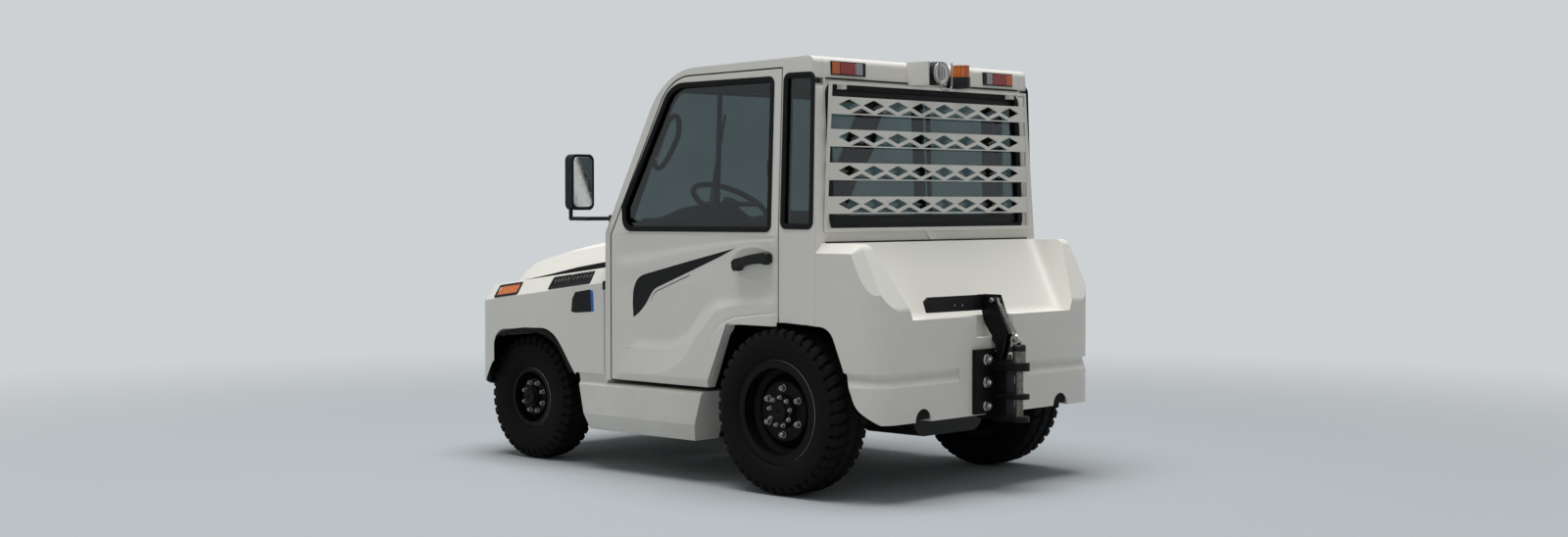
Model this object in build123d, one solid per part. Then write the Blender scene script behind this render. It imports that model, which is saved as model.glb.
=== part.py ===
from build123d import *
from math import hypot, radians, tan
import os

os.makedirs("parts", exist_ok=True)

# Airport tow tractor, in millimetres. Z is up and X points to the tractor's left.
# Every Y below is measured from the rear axle, backwards positive, and each piece is
# moved at the end so that the origin lies on the ground below the middle of the whole.

# Body
half_width = 750
wheelbase = 1705
front_overhang = 355
running_gap = 0.3           # between a turning face and its seat
panel_gap = 6               # around doors and bonnet
front_axle_y = -wheelbase
front_reach = wheelbase + front_overhang

# Wheels
rear_tyre_radius = 350
rear_tyre_width = 216
rear_tyre_x = half_width - 75
rear_flange_radius = 218
rear_bead_radius = 191
rear_well_radius = 164
rear_rim_half = 95
rear_hub_radius = 72
front_tyre_radius = 294
front_tyre_width = 178
front_tyre_x = half_width - 150
front_flange_radius = 139
front_bead_radius = 127
front_well_radius = 112
front_rim_half = 76
front_hub_radius = 52
rim_wall = 7
disc_wall = 10
rear_disc_x = rear_tyre_x + 47          # outer face of the wheel disc
front_disc_x = front_tyre_x + 55
rear_end_x = rear_tyre_x - 75           # where the axle ends at the hub
front_end_x = front_tyre_x - 52
kingpin_x = half_width - 250
kingpin_radius = 16

# Frame
rail_x = 245                # middle of each rail
rail_width = 70
rail_height = 80
rail_low = front_tyre_radius + 46
rail_rear_low = rear_tyre_radius + 80   # where the rails pass over the rear axle
floor_z = rail_low + rail_height
deck_z = 2 * rear_tyre_radius + 40      # seat deck over the rear wheels
riser_y = -rear_tyre_radius - 155

# Rear body
tail_y = rear_tyre_radius + 202
tail_low = 327
seam_y = 204                # cab meets rear body
body_top = 1055
fin_top_end = tail_y - 132  # where the fins start to slope down
fin_bevel = 40
tail_corner = 120
scoop_floor = deck_z + 5
fin_tail_z = scoop_floor + 45
arch_depth = 255            # wheel pocket, from the side inwards
groove_low = 476            # around the lower tail
groove_high = 532
groove_depth = 14

# Cab
side_sill = floor_z - 3     # lower edge of the doors
skirt_top = side_sill - 14
skirt_low = 183
skirt_depth = 170
cab_setback = 620           # front axle to the front of the cab
pillar_front_y = front_axle_y + cab_setback
door_front_y = pillar_front_y + 40
door_rear_y = -8
cab_wall = 40
split_x = half_width - 82   # where the side frames meet roof, front and rear walls
screen_half = split_x - 28
door_wall = 44
glass_wall = 5
waist_z = 1085              # above it the cab leans inwards
roof_rear_z = 1828
roof_front_z = roof_rear_z - 25
roof_rear_y = seam_y - 37
roof_half_width = half_width - 28
screen_slope = 63           # degrees from level
door_slope = 62.3
screen_back_y = pillar_front_y + 485    # the windscreen ends ahead of it
recess_depth = 9            # of the soft recess in each door
seat_inner = 105
seat_outer = half_width - 185
seat_base_height = 35
door_top = roof_front_z - 35

# Front body
nose_low = 330
nose_corner = 150
nose_depth = 100            # length of the nose panel along its sides
fender_wall = 6
fender_low = side_sill + 23
crease_slope = 0.1257       # rise of the fender's crease for each mm backwards
crease_front_z = 738
bevel_rise = 70             # steep bevel above the crease
bevel_inset = 50
ledge_slope = 0.1           # rise of the fender's top for each mm inwards
grille_half = half_width - 420
grille_low = 500
grille_high = 730
headlamp_x = half_width - 310
headlamp_z = 640
headlamp_radius = 58
bonnet_half = half_width - 250
nose_half = bonnet_half + 30
bonnet_rear_y = pillar_front_y - 15
bonnet_wall = 18

# Hitch
hitch_pin_y = tail_y + 128
hitch_pin_radius = 18
hitch_half_width = 45
hitch_plate_half = 155
hitch_plate_wall = 20
hitch_reach = hitch_pin_y + hitch_half_width

# Reach of the cutting solids past the body
far_x = half_width + 100
far_front = -front_reach - 200
far_rear = hitch_reach + 200
far_up = roof_rear_z + 200


def across(points, x_low, x_high, radius=0):
    """Prism along X over an outline of (y, z) points, its corners rounded where radius is given."""
    spots = [(x_low, y, z) for y, z in points]
    line = FilletPolyline(*spots, radius=radius, close=True) if radius else Polyline(*spots, close=True)
    return extrude(make_face(line), amount=x_high - x_low, dir=(1, 0, 0))


def along(points, y_low, y_high, radius=0):
    """Prism along Y over an outline of (x, z) points."""
    spots = [(x, y_low, z) for x, z in points]
    line = FilletPolyline(*spots, radius=radius, close=True) if radius else Polyline(*spots, close=True)
    return extrude(make_face(line), amount=y_high - y_low, dir=(0, 1, 0))


def block(x_low, x_high, y_low, y_high, z_low, z_high):
    return Pos((x_low + x_high) / 2, (y_low + y_high) / 2, (z_low + z_high) / 2) * Box(
        x_high - x_low, y_high - y_low, z_high - z_low)


def rod_x(radius, x_low, x_high, y, z):
    return Pos((x_low + x_high) / 2, y, z) * Rot(0, 90, 0) * Cylinder(radius, x_high - x_low)


def rod_y(radius, x, y_low, y_high, z):
    return Pos(x, (y_low + y_high) / 2, z) * Rot(90, 0, 0) * Cylinder(radius, y_high - y_low)


def rod_z(radius, x, y, z_low, z_high):
    return Pos(x, y, (z_low + z_high) / 2) * Cylinder(radius, z_high - z_low)


def turned(points, y, z):
    """Solid turned about a line along X at (y, z), over (x, radius) points."""
    line = Polyline(*[(x, 0, r) for x, r in points], close=True)
    return Pos(0, y, z) * revolve(make_face(line), Axis.X)


def right_hand(piece):
    return mirror(piece, Plane.YZ)


def both_sides(piece):
    return piece + right_hand(piece)


# Wheels
def make_tyre(centre_x, y, radius, width, bead_radius, flange_radius, rim_half):
    """Carcass with rounded shoulders, its beads inside the rim's flanges."""
    half = width / 2
    seat = rim_half - rim_wall - 1
    wall = radius - flange_radius
    bead = bead_radius + running_gap
    points = [
        (-seat, bead), (-seat, flange_radius + 1), (-half * 0.92, flange_radius + wall * 0.16),
        (-half, flange_radius + wall * 0.45), (-half * 0.98, flange_radius + wall * 0.72),
        (-half * 0.86, radius - wall * 0.06), (-half * 0.6, radius),
    ]
    points = points + [(-x, r) for x, r in reversed(points)]
    return turned([(centre_x + x, r) for x, r in points], y, radius)


def make_rim(centre_x, y, hub_z, bead_radius, flange_radius, well_radius, rim_half, disc_x, hub_radius,
             hub_low):
    """Well-base rim, its dished disc and the hub that runs back to the axle's end."""
    outer = [
        (-rim_half, flange_radius), (-rim_half + rim_wall, flange_radius),
        (-rim_half + rim_wall, bead_radius), (-rim_half * 0.52, bead_radius - 3),
        (-rim_half * 0.36, well_radius), (rim_half * 0.20, well_radius), (rim_half * 0.38, bead_radius - 3),
        (rim_half - rim_wall, bead_radius), (rim_half - rim_wall, flange_radius), (rim_half, flange_radius),
    ]
    inner = [
        (rim_half, bead_radius - rim_wall), (rim_half * 0.40, bead_radius - 3 - rim_wall),
        (rim_half * 0.22, well_radius - rim_wall), (-rim_half * 0.38, well_radius - rim_wall),
        (-rim_half * 0.54, bead_radius - 3 - rim_wall), (-rim_half, bead_radius - rim_wall),
    ]
    barrel = turned([(centre_x + x, r) for x, r in outer + inner], y, hub_z)
    edge = well_radius - rim_wall + 1
    disc = turned([
        (hub_low, 0.01), (hub_low, hub_radius * 0.9), (disc_x - disc_wall, hub_radius * 0.9),
        (disc_x - disc_wall, well_radius * 0.72), (centre_x - disc_wall, edge), (centre_x + 4, edge),
        (disc_x, well_radius * 0.76), (disc_x, hub_radius), (disc_x + 22, hub_radius * 0.86),
        (disc_x + 22, 0.01),
    ], y, hub_z)
    return barrel + disc


# Knuckles and axles
knuckle_half = 34           # half height of the knuckle's eye
ear_wall = 22
axle_box = 56
rear_tube_radius = 52


def make_knuckle():
    eye = rod_z(30, kingpin_x, front_axle_y, front_tyre_radius - knuckle_half + running_gap,
                front_tyre_radius + knuckle_half - running_gap)
    pin = rod_z(kingpin_radius, kingpin_x, front_axle_y, front_tyre_radius - knuckle_half - ear_wall,
                front_tyre_radius + knuckle_half + ear_wall)
    stub = rod_x(24, kingpin_x, front_end_x - running_gap, front_axle_y, front_tyre_radius)
    arm = across([
        (front_axle_y, front_tyre_radius - 12), (front_axle_y + 130, front_tyre_radius - 12),
        (front_axle_y + 130, front_tyre_radius + 4), (front_axle_y, front_tyre_radius + 4),
    ], kingpin_x - 18, kingpin_x + 8)
    return eye + pin + stub + arm


def make_front_axle():
    half = kingpin_x - 40
    beam = block(-half, half, front_axle_y - axle_box / 2, front_axle_y + axle_box / 2,
                 front_tyre_radius - axle_box / 2, front_tyre_radius + axle_box / 2)
    for side in (-1, 1):
        for level in (-1, 1):
            low = front_tyre_radius + level * (knuckle_half + ear_wall / 2) - ear_wall / 2
            ear = block(min(side * half * 0.9, side * kingpin_x), max(side * half * 0.9, side * kingpin_x),
                        front_axle_y - 28, front_axle_y + 28, low, low + ear_wall)
            ear += rod_z(28, side * kingpin_x, front_axle_y, low, low + ear_wall)
            ear -= rod_z(kingpin_radius + running_gap, side * kingpin_x, front_axle_y, low, low + ear_wall)
            beam += ear
        web = front_tyre_radius - knuckle_half - ear_wall
        beam += block(min(side * half * 0.86, side * half), max(side * half * 0.86, side * half),
                      front_axle_y - 28, front_axle_y + 28, web, web + 2 * (knuckle_half + ear_wall))
    saddle_top = rail_low
    for side in (-1, 1):
        x_low = side * rail_x - rail_width / 2
        beam += block(x_low, x_low + rail_width, front_axle_y - 60, front_axle_y + 60,
                      front_tyre_radius, saddle_top)
    return beam


def make_rear_axle():
    tube = rear_tube_radius
    brake = 78
    end = rear_end_x - running_gap
    half = [(45, 140), (110, 118), (190, tube), (end - 55, tube), (end - 40, brake), (end, brake),
            (end, 0.01)]
    points = [(-x, r) for x, r in reversed(half)] + half
    housing = turned(points, 0, rear_tyre_radius)
    nose = rod_y(62, 0, -230, -60, rear_tyre_radius)
    for side in (-1, 1):
        x_low = side * rail_x - rail_width / 2
        housing += block(x_low, x_low + rail_width, -55, 55, rear_tyre_radius, rail_rear_low)
    # Low housing between the rails, behind the axle
    high = tail_low - panel_gap
    low = high - 99
    tray = block(-rail_x + 10, rail_x - 10, 0, tail_y - 250, low, high)
    corners = tray.edges().filter_by(Axis.Y).filter_by(lambda e: e.center().Z < low + 1)
    return housing + nose + fillet(corners, 70)


def make_frame():
    """Two box rails that step up over the rear axle, with cross members and end plates."""
    top = rail_low + rail_height
    rear_top = rail_rear_low + rail_height
    front = -front_reach + 90
    step = -rear_tyre_radius - 10
    points = [
        (front, rail_low), (step, rail_low), (step + 130, rail_rear_low), (seam_y, rail_rear_low),
        (seam_y, rear_top), (step + 98, rear_top), (step - 32, top), (front, top),
    ]
    frame = None
    for side in (-1, 1):
        x_low = side * rail_x - rail_width / 2
        rail = across(points, x_low, x_low + rail_width)
        frame = rail if frame is None else frame + rail
    inner = rail_x - rail_width / 2
    for y in (front + 90, front_axle_y + 385, pillar_front_y + 185, riser_y + 25):
        frame += block(-inner, inner, y, y + 60, rail_low + 8, top - 8)
    frame += block(-inner, inner, seam_y - 84, seam_y - 24, rail_rear_low + 8, rear_top - 8)
    # Outriggers carry the skirts and the cab floor
    for y in (pillar_front_y - 65, (pillar_front_y + riser_y) / 2 - 5, riser_y + 5):
        frame += both_sides(block(rail_x, half_width - skirt_depth, y, y + 50, rail_low + 20, top))
    # Front plate behind the nose
    half = rail_x + rail_width / 2 + 10
    frame += block(-half, half, front - 30, front, rail_low - 6, top + 120)
    return frame


# Rear body
def plan_face(inset, z):
    """Plan of the rear body with its rounded tail corners, drawn smaller by inset."""
    x = half_width - inset
    y = tail_y - inset
    face = make_face(Polyline((-x, seam_y, z), (-x, y, z), (x, y, z), (x, seam_y, z), close=True))
    corners = face.vertices().filter_by(lambda v: v.Y > seam_y + 1)
    return fillet(corners, tail_corner - inset)


rear_arch = [
    (-rear_tyre_radius - 100, rear_tyre_radius + 5), (-rear_tyre_radius + 38, 2 * rear_tyre_radius + 3),
    (20, 2 * rear_tyre_radius + 24), (rear_tyre_radius - 68, 2 * rear_tyre_radius + 12),
    (rear_tyre_radius + 70, rear_tyre_radius + 45), (rear_tyre_radius + 173, tail_low),
]
rear_arch_radii = [110, 600, 85, 110]
front_arch = [
    (front_axle_y - 190, front_tyre_radius + 46), (front_axle_y - 190, 2 * front_tyre_radius + 24),
    (front_axle_y + 239, 2 * front_tyre_radius + 52), (front_axle_y + 407, fender_low - 10),
]
front_arch_radii = [85, 170]


def rear_arch_prism(x_low, x_high):
    """The rear wheel arch: rounded over the wheel and flared out to the tail's lower edge."""
    spots = [(x_low, y, z) for y, z in rear_arch]
    top = FilletPolyline(*spots, radius=rear_arch_radii)
    low = Polyline(spots[-1], (x_low, rear_arch[-1][0], 0), (x_low, rear_arch[0][0], 0), spots[0])
    return extrude(make_face(top.edges() + low.edges()), amount=x_high - x_low, dir=(1, 0, 0))


def make_rear_body():
    body = across([
        (seam_y, tail_low), (seam_y, body_top), (fin_top_end, body_top), (tail_y, fin_tail_z),
        (tail_y, tail_low),
    ], -half_width, half_width)
    turns = body.edges().filter_by(Axis.X).filter_by(
        lambda e: e.center().Z > fin_tail_z - 1 and e.center().Y > seam_y + 1)
    body = fillet(turns, 45)
    rims = body.edges().filter_by(
        lambda e: abs(abs(e.center().X) - half_width) < 1 and e.center().Y > seam_y + 1
        and e.center().Z > tail_low + 1)
    body = chamfer(rims, fin_bevel)
    body &= extrude(plan_face(0, 0), amount=2000, dir=(0, 0, 1))
    # Scooped deck between the fins, a tapered pocket open to the rear
    levels = [(scoop_floor, half_width - 205, tail_y - 82), (body_top + 20, half_width - 82, seam_y + 18)]
    faces = []
    for z, half, front in levels:
        faces.append(make_face(Polyline((-half, front, z), (half, front, z), (half, far_rear, z),
                                        (-half, far_rear, z), close=True)))
    pocket = loft(faces, ruled=True)
    turns = pocket.edges().filter_by(lambda e: e.center().Y < tail_y + 48 and e.center().Z < body_top)
    pocket = fillet(turns, 60)
    body -= pocket
    # Notches in the lower edge and the recess behind the lever
    for x in (275 - half_width, half_width - 275):
        body -= rod_y(50, x, tail_y - 90, tail_y + 5, tail_low + 4)
    body -= block(-125, 125, tail_y - 52, tail_y + 5, scoop_floor - 92, scoop_floor + 1)
    # Groove around the lower tail, its roof level and its floor running out to the face
    groove = block(-half_width - 1, half_width + 1, tail_y - 210, tail_y + 1, groove_low, groove_high)
    core = loft([plan_face(0, groove_low), plan_face(groove_depth, groove_high - 14)], ruled=True)
    groove -= core + extrude(plan_face(groove_depth, groove_high - 14), amount=20, dir=(0, 0, 1))
    groove -= block(-240, 240, 0, far_rear, groove_low - 50, groove_high + 50)
    body -= groove
    # Wheel pockets
    body -= both_sides(rear_arch_prism(half_width - arch_depth, far_x))
    return body


# Cab
def cab_profile():
    """Side outline of the cab, drawn down to the ground."""
    lean = (roof_front_z - waist_z) / tan(radians(screen_slope))
    spots = [
        (0, pillar_front_y, 100), (0, pillar_front_y, waist_z), (0, pillar_front_y + lean, roof_front_z),
        (0, roof_rear_y, roof_rear_z), (0, seam_y, body_top), (0, seam_y, 100),
    ]
    face = make_face(Polyline(*spots, close=True))
    brow = face.vertices().filter_by(lambda v: v.Z > roof_front_z - 1 and v.Y < 0)
    face = fillet(brow, 320)
    back = face.vertices().filter_by(lambda v: v.Z > roof_front_z - 1 and v.Y > roof_rear_y - 1)
    return fillet(back, 30)


def cab_section():
    """Cross section of the cab: upright to the waist, then leaning in to the roof."""
    top = roof_rear_z + 30
    spots = [
        (-half_width, 0, 100), (-half_width, 0, waist_z), (-roof_half_width, 0, top),
        (roof_half_width, 0, top), (half_width, 0, waist_z), (half_width, 0, 100),
    ]
    return make_face(Polyline(*spots, close=True))


def cab_solid(inset):
    profile = cab_profile()
    section = cab_section()
    if inset:
        profile = offset(profile, amount=-inset)
        section = offset(section, amount=-inset)
    deep = Pos(-far_x, 0, 0) * extrude(profile, amount=2 * far_x, dir=(1, 0, 0))
    wide = Pos(0, far_front, 0) * extrude(section, amount=far_rear - far_front, dir=(0, 1, 0))
    return deep & wide


def door_face(grow=0):
    """The door's outline: upright front edge, leaning with the pillar, cut away around the wheel."""
    lean = tan(radians(90 - door_slope))
    bend = waist_z - 10
    arch_top = 2 * rear_tyre_radius
    spots = [
        (0, door_front_y, side_sill + 8), (0, door_front_y, bend),
        (0, door_front_y + (door_top - bend) * lean, door_top), (0, door_rear_y, door_top + 12),
        (0, door_rear_y, arch_top), (0, 50 - rear_tyre_radius, arch_top),
        (0, -74 - rear_tyre_radius, side_sill + 8),
    ]
    face = make_face(Polyline(*spots, close=True))
    face = fillet(face.vertices().filter_by(lambda v: v.Z > door_top - 60 and v.Y < door_rear_y - 1), 200)
    return offset(face, amount=grow) if grow else face


def window_face(grow=0):
    """Window opening of the door."""
    rear = door_rear_y - 50
    spots = [
        (0, door_front_y + 77, waist_z + 115), (0, door_front_y + 369, door_top - 33),
        (0, rear, door_top - 27), (0, rear, waist_z + 23), (0, door_front_y + 87, waist_z + 18),
    ]
    face = make_face(Polyline(*spots, close=True))
    face = fillet(face.vertices().filter_by(lambda v: v.Z > door_top - 60 and v.Y < rear - 1), 130)
    face = fillet(face.vertices().filter_by(lambda v: v.Z < waist_z + 60 and v.Y < rear - 1), 50)
    face = fillet(face.vertices().filter_by(lambda v: v.Y > rear - 1), 22)
    return offset(face, amount=grow) if grow else face


def quarter_face(grow=0):
    """Window opening behind the door."""
    front, rear = door_rear_y + 22, seam_y - 24
    low, high = waist_z + 37, door_top - 17
    spots = [(0, front, low), (0, front, high), (0, rear - 8, high), (0, rear, low)]
    face = fillet(make_face(Polyline(*spots, close=True)).vertices(), 22)
    return offset(face, amount=grow) if grow else face


def through(face):
    """Prism over a side outline, across the left wall."""
    return Pos(half_width - 250, 0, 0) * extrude(face, amount=350, dir=(1, 0, 0))


def side_band(inset_low, inset_high):
    """The slice of the cab between two insets, on the left side only."""
    low = offset(cab_section(), amount=-inset_low) if inset_low else cab_section()
    high = offset(cab_section(), amount=-inset_high) if inset_high else cab_section()
    depth = far_rear - far_front
    band = extrude(low, amount=depth, dir=(0, 1, 0)) - extrude(high, amount=depth, dir=(0, 1, 0))
    slab = block(half_width - 250, far_x, far_front, far_rear, 150, roof_rear_z + 22)
    return (Pos(0, far_front, 0) * band) & slab


def door_stop():
    """Flange around the doorway that the closed door rests against."""
    opening = through(door_face(panel_gap))
    flange = side_band(door_wall + running_gap, door_wall + 10) & (opening - through(door_face(-18)))
    root = side_band(cab_wall - 2, door_wall + 10) & (through(door_face(20)) - opening)
    return flange + root


def make_cab_parts():
    """Side frame, roof, rear and front walls, and the panes between them."""
    shell = cab_solid(0) - cab_solid(cab_wall)
    left = shell & block(split_x, far_x, far_front, far_rear, side_sill, far_up)
    left -= through(door_face(panel_gap))
    left -= through(quarter_face())
    left += door_stop()
    low_x = half_width - 150
    left -= block(low_x, far_x, far_front, door_rear_y + panel_gap, 0, side_sill + 1)
    left -= rear_arch_prism(low_x, far_x)
    left -= block(low_x, far_x, door_front_y + 20, seam_y - cab_wall - 2, 0, 2 * rear_tyre_radius + 19)
    header = roof_front_z - 68
    roof = shell & block(-split_x, split_x, far_front, far_rear, header, far_up)
    rear = shell & block(-split_x, split_x, 0, far_rear, deck_z, header)
    rear_hole = block(-screen_half, screen_half, 0, far_rear, waist_z + 35, header - 35)
    rear -= rear_hole
    front = shell & block(-split_x, split_x, far_front, screen_back_y, side_sill + 3, header)
    screen_hole = block(-screen_half, screen_half, far_front, screen_back_y, waist_z + 40, header - 15)
    front -= screen_hole
    glass = cab_solid(10) - cab_solid(10 + glass_wall)
    panes = (glass & screen_hole) + (glass & rear_hole)
    return left, roof, rear, front, panes + both_sides(make_quarter_glass())


def make_quarter_glass():
    return side_band(10, 10 + glass_wall) & through(quarter_face())


def make_door():
    """Slab with its window, a recess above the sill that rises round the wheel, and the handle."""
    slab = side_band(0, door_wall) & through(door_face())
    slab -= through(window_face())
    slab -= rear_arch_prism(half_width - 150, far_x)
    # Recess: deepest along its lower line, running out level at the top
    low, high = side_sill + 156, waist_z - 220
    front, rear = door_front_y + 100, door_rear_y - 60
    spots = [(front, high), (front, low), (-250 - rear_tyre_radius, low),
             (-60 - rear_tyre_radius, high - 70), (rear, high - 25), (rear, high)]
    line = FilletPolyline(*[(0, y, z) for y, z in spots], radius=[20, 140, 120, 5])
    top = Line((0, rear, high), (0, front, high))
    inner = half_width - recess_depth
    wedge = along([(half_width, high), (inner, low - 1), (far_x, low - 1), (far_x, high)],
                  far_front, far_rear)
    slab -= through(make_face(line.edges() + top.edges())) & wedge
    # Handle, raised towards the rear
    y, z = door_rear_y - 130, waist_z - 105
    grip = block(half_width - 1, half_width + 34, -92, 92, -13, 13)
    grip -= block(half_width, half_width + 20, -64, 58, -20, 20)
    return slab + Pos(0, y, z) * Rot(8, 0, 0) * grip


def make_door_glass():
    return side_band(14, 14 + glass_wall) & through(window_face())


def make_floor():
    """Floor pan, riser and seat deck, the wheel housings below it and the seat frames on it."""
    wall = 12
    inner = half_width - door_wall - 11
    front = pillar_front_y + cab_wall
    rear = seam_y - cab_wall
    floor = across([
        (front, floor_z), (riser_y, floor_z), (riser_y, deck_z - wall), (rear, deck_z - wall),
        (rear, deck_z), (riser_y - wall, deck_z), (riser_y - wall, floor_z + wall), (front, floor_z + wall),
    ], -inner, inner)
    pocket = half_width - arch_depth
    housing = block(pocket - 40, pocket - 30, riser_y, rear, floor_z + 100, deck_z - wall)
    frame = block(seat_inner + 5, seat_outer - 5, riser_y + 65, 0, deck_z - 1, deck_z + seat_base_height)
    return floor + both_sides(housing) + both_sides(frame)


def make_skirts():
    """Sill boxes below the doors, beveled along the top, their lower faces tucked in.

    Ahead of the doors a set-back strip goes on up to the fender."""
    inner = half_width - skirt_depth
    front = front_axle_y + 423
    rear = -rear_tyre_radius - 112
    tuck = skirt_low + 72
    top = fender_low - running_gap
    side = along([
        (half_width - 12, top), (half_width - 12, skirt_top), (half_width, skirt_top - 14),
        (half_width, tuck), (half_width - 26, skirt_low), (inner, skirt_low), (inner, top),
    ], far_front, 0)
    outline = across([(front, top), (pillar_front_y - 1, top), (pillar_front_y - 1, skirt_top),
                      (rear, skirt_top), (rear - 68, skirt_low), (front + 59, skirt_low)], inner - 10, far_x)
    return both_sides(side & outline)


# Front body
def fender_plan(inset, z):
    """Half plan of the front body with its rounded nose corner."""
    x = half_width - inset
    y = -front_reach + inset
    spots = [(0, pillar_front_y, z), (0, y, z), (x, y, z), (x, pillar_front_y, z)]
    face = make_face(Polyline(*spots, close=True))
    corner = face.vertices().filter_by(lambda v: v.Y < pillar_front_y - 1 and v.X > 1)
    return fillet(corner, nose_corner - inset)


def fender_solid(inset, bevelled=True):
    """Left half of the front body under its ledge, with the bevel that runs round the nose."""
    solid = extrude(fender_plan(inset, nose_low - 10), amount=900, dir=(0, 0, 1))
    top_z = crease_front_z + bevel_rise - ledge_slope * bevel_inset - inset
    corner = Vector(half_width, -front_reach, top_z)
    normal = Vector(ledge_slope, -crease_slope, 1)
    solid = split(solid, bisect_by=Plane(origin=corner, z_dir=normal), keep=Keep.BOTTOM)
    if not bevelled:
        return solid
    top = solid.faces().sort_by(Axis.Z)[-1]
    edges = top.edges().filter_by(lambda e: e.center().X > 1 and e.center().Y < pillar_front_y - 1)
    steep = bevel_rise / bevel_inset
    length = hypot(bevel_rise, bevel_inset)
    down = bevel_rise - ledge_slope * bevel_inset
    down -= inset * (1 + steep * (1 - bevel_rise / length) - bevel_inset / length)
    return chamfer(edges, down / steep, down, reference=top)


def front_arch_prism(x_low, x_high):
    spots = [(x_low, y, z) for y, z in front_arch]
    top = FilletPolyline(*spots, radius=front_arch_radii)
    low = Polyline(spots[-1], (x_low, front_arch[-1][0], 0), (x_low, front_arch[0][0], 0), spots[0])
    return extrude(make_face(top.edges() + low.edges()), amount=x_high - x_low, dir=(1, 0, 0))


def crease_z(y):
    """Height of the fender's crease."""
    return crease_front_z + crease_slope * (y + front_reach)


def bonnet_low_z(y):
    """Height of the bonnet's lower edge, level with the ledge beside it."""
    return crease_z(y) + bevel_rise + ledge_slope * (half_width - bevel_inset - bonnet_half)


def bevel_zone(y_front, y_rear, gap, lean=0):
    """Space over a stretch of the bevel, kept clear of its two edges."""
    low, high = 12 + gap, bevel_rise - 6 - gap
    outline = across([
        (y_front + gap, crease_z(y_front) + low), (y_front + gap + lean, crease_z(y_front + lean) + high),
        (y_rear - gap + lean * 0.4, crease_z(y_rear) + high), (y_rear - gap, crease_z(y_rear) + low),
    ], half_width - bevel_inset - 30, far_x)
    return outline


lamp_front_y = -wheelbase - 183
lamp_rear_y = -wheelbase - 32
vent_front_y = -wheelbase + 213
vent_rear_y = -wheelbase + 507


def bonnet_ledge():
    """Inner flange of the fender that carries the closed bonnet."""
    front = -front_reach + 120
    low, high = bonnet_low_z(front) - running_gap, bonnet_low_z(bonnet_rear_y) - running_gap
    return across([(front, low), (bonnet_rear_y, high), (bonnet_rear_y, high - fender_wall),
                   (front, low - fender_wall)], bonnet_half - 24, bonnet_half + panel_gap + 2)


def make_grille():
    """Duct and level slats of the radiator opening."""
    y = -front_reach
    edge = 8
    duct = block(-grille_half - edge, grille_half + edge, y + 2, y + 34, grille_low - edge,
                 grille_high + edge)
    duct -= block(-grille_half, grille_half, y, y + 40, grille_low, grille_high)
    count = 7
    pitch = (grille_high - grille_low) / count
    for i in range(count - 1):
        z = grille_low + pitch * (i + 1)
        duct += block(-grille_half - 1, grille_half + 1, y + 6, y + 26, z - 5, z + 5)
    return duct + both_sides(block(grille_half / 3 - 5, grille_half / 3 + 5, y + 10, y + 26, grille_low - 1,
                                   grille_high + 1))


def make_vents():
    """Louvres in the fender's bevel."""
    count = 13
    pitch = (vent_rear_y - vent_front_y) / count
    vents = None
    for i in range(count + 1):
        y = vent_front_y + i * pitch
        wide = 9 if i in (0, count // 2, count) else 3
        fin = bevel_zone(y - wide, y + wide, -2)
        vents = fin if vents is None else vents + fin
    return vents & (fender_solid(0) - fender_solid(fender_wall))


def make_fender_parts():
    """Left fender and the nose panel."""
    shell = fender_solid(0) - fender_solid(fender_wall)
    shell &= block(0, far_x, far_front, 0, nose_low, far_up)
    nose_rear = -front_reach + nose_depth
    fender = shell & block(nose_half, far_x, far_front, 0, nose_low, far_up)
    fender += shell & block(bonnet_half + panel_gap, nose_half, nose_rear, 0, crease_front_z, far_up)
    fender += bonnet_ledge()
    fender -= bevel_zone(lamp_front_y, lamp_rear_y, 0, 22)
    fender -= bevel_zone(vent_front_y, vent_rear_y, 0)
    fender += make_vents()
    low_x = half_width - 150
    fender -= front_arch_prism(half_width - 110, far_x)
    fender -= block(low_x, far_x, front_arch[-1][0] - 1, 0, 0, fender_low)
    # Lower front corner cut away from the steered wheel
    clear = [(-395, 6), (-305, 78), (-280, 66), (-260, 72), (-232, 112), (-205, 156), (-165, 190), (-165, 6)]
    fender -= across([(front_axle_y + y, front_tyre_radius + z) for y, z in clear], low_x, far_x)
    # The nose stands upright to the bonnet, its ends closed beside the fenders' bevel
    plain = fender_solid(0, False)
    nose_top = bonnet_low_z(-front_reach) - panel_gap
    nose = plain - fender_solid(fender_wall, False)
    nose &= block(0, nose_half, far_front, nose_rear, nose_low, nose_top)
    nose += plain & block(nose_half - fender_wall, nose_half, far_front, nose_rear, crease_front_z - 30,
                          nose_top)
    nose = nose + right_hand(nose)
    nose -= block(-grille_half, grille_half, far_front, nose_rear, grille_low, grille_high)
    nose -= both_sides(rod_y(headlamp_radius + running_gap, headlamp_x, far_front, nose_rear, headlamp_z))
    return fender, nose + make_grille()


bonnet_stations = [
    # share of length, lower inset, rise of the upper edge, its inset, rise of the crown
    (0, 26, 10, 40, 16),
    (0.030, 17, 49, 53, 65),
    (0.091, 9, 81, 66, 105),
    (0.197, 2, 99, 74, 139),
    (0.345, 0, 109, 79, 163),
    (0.598, 0, 113, 82, 167),
    (1, 0, 113, 82, 149),
]


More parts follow.
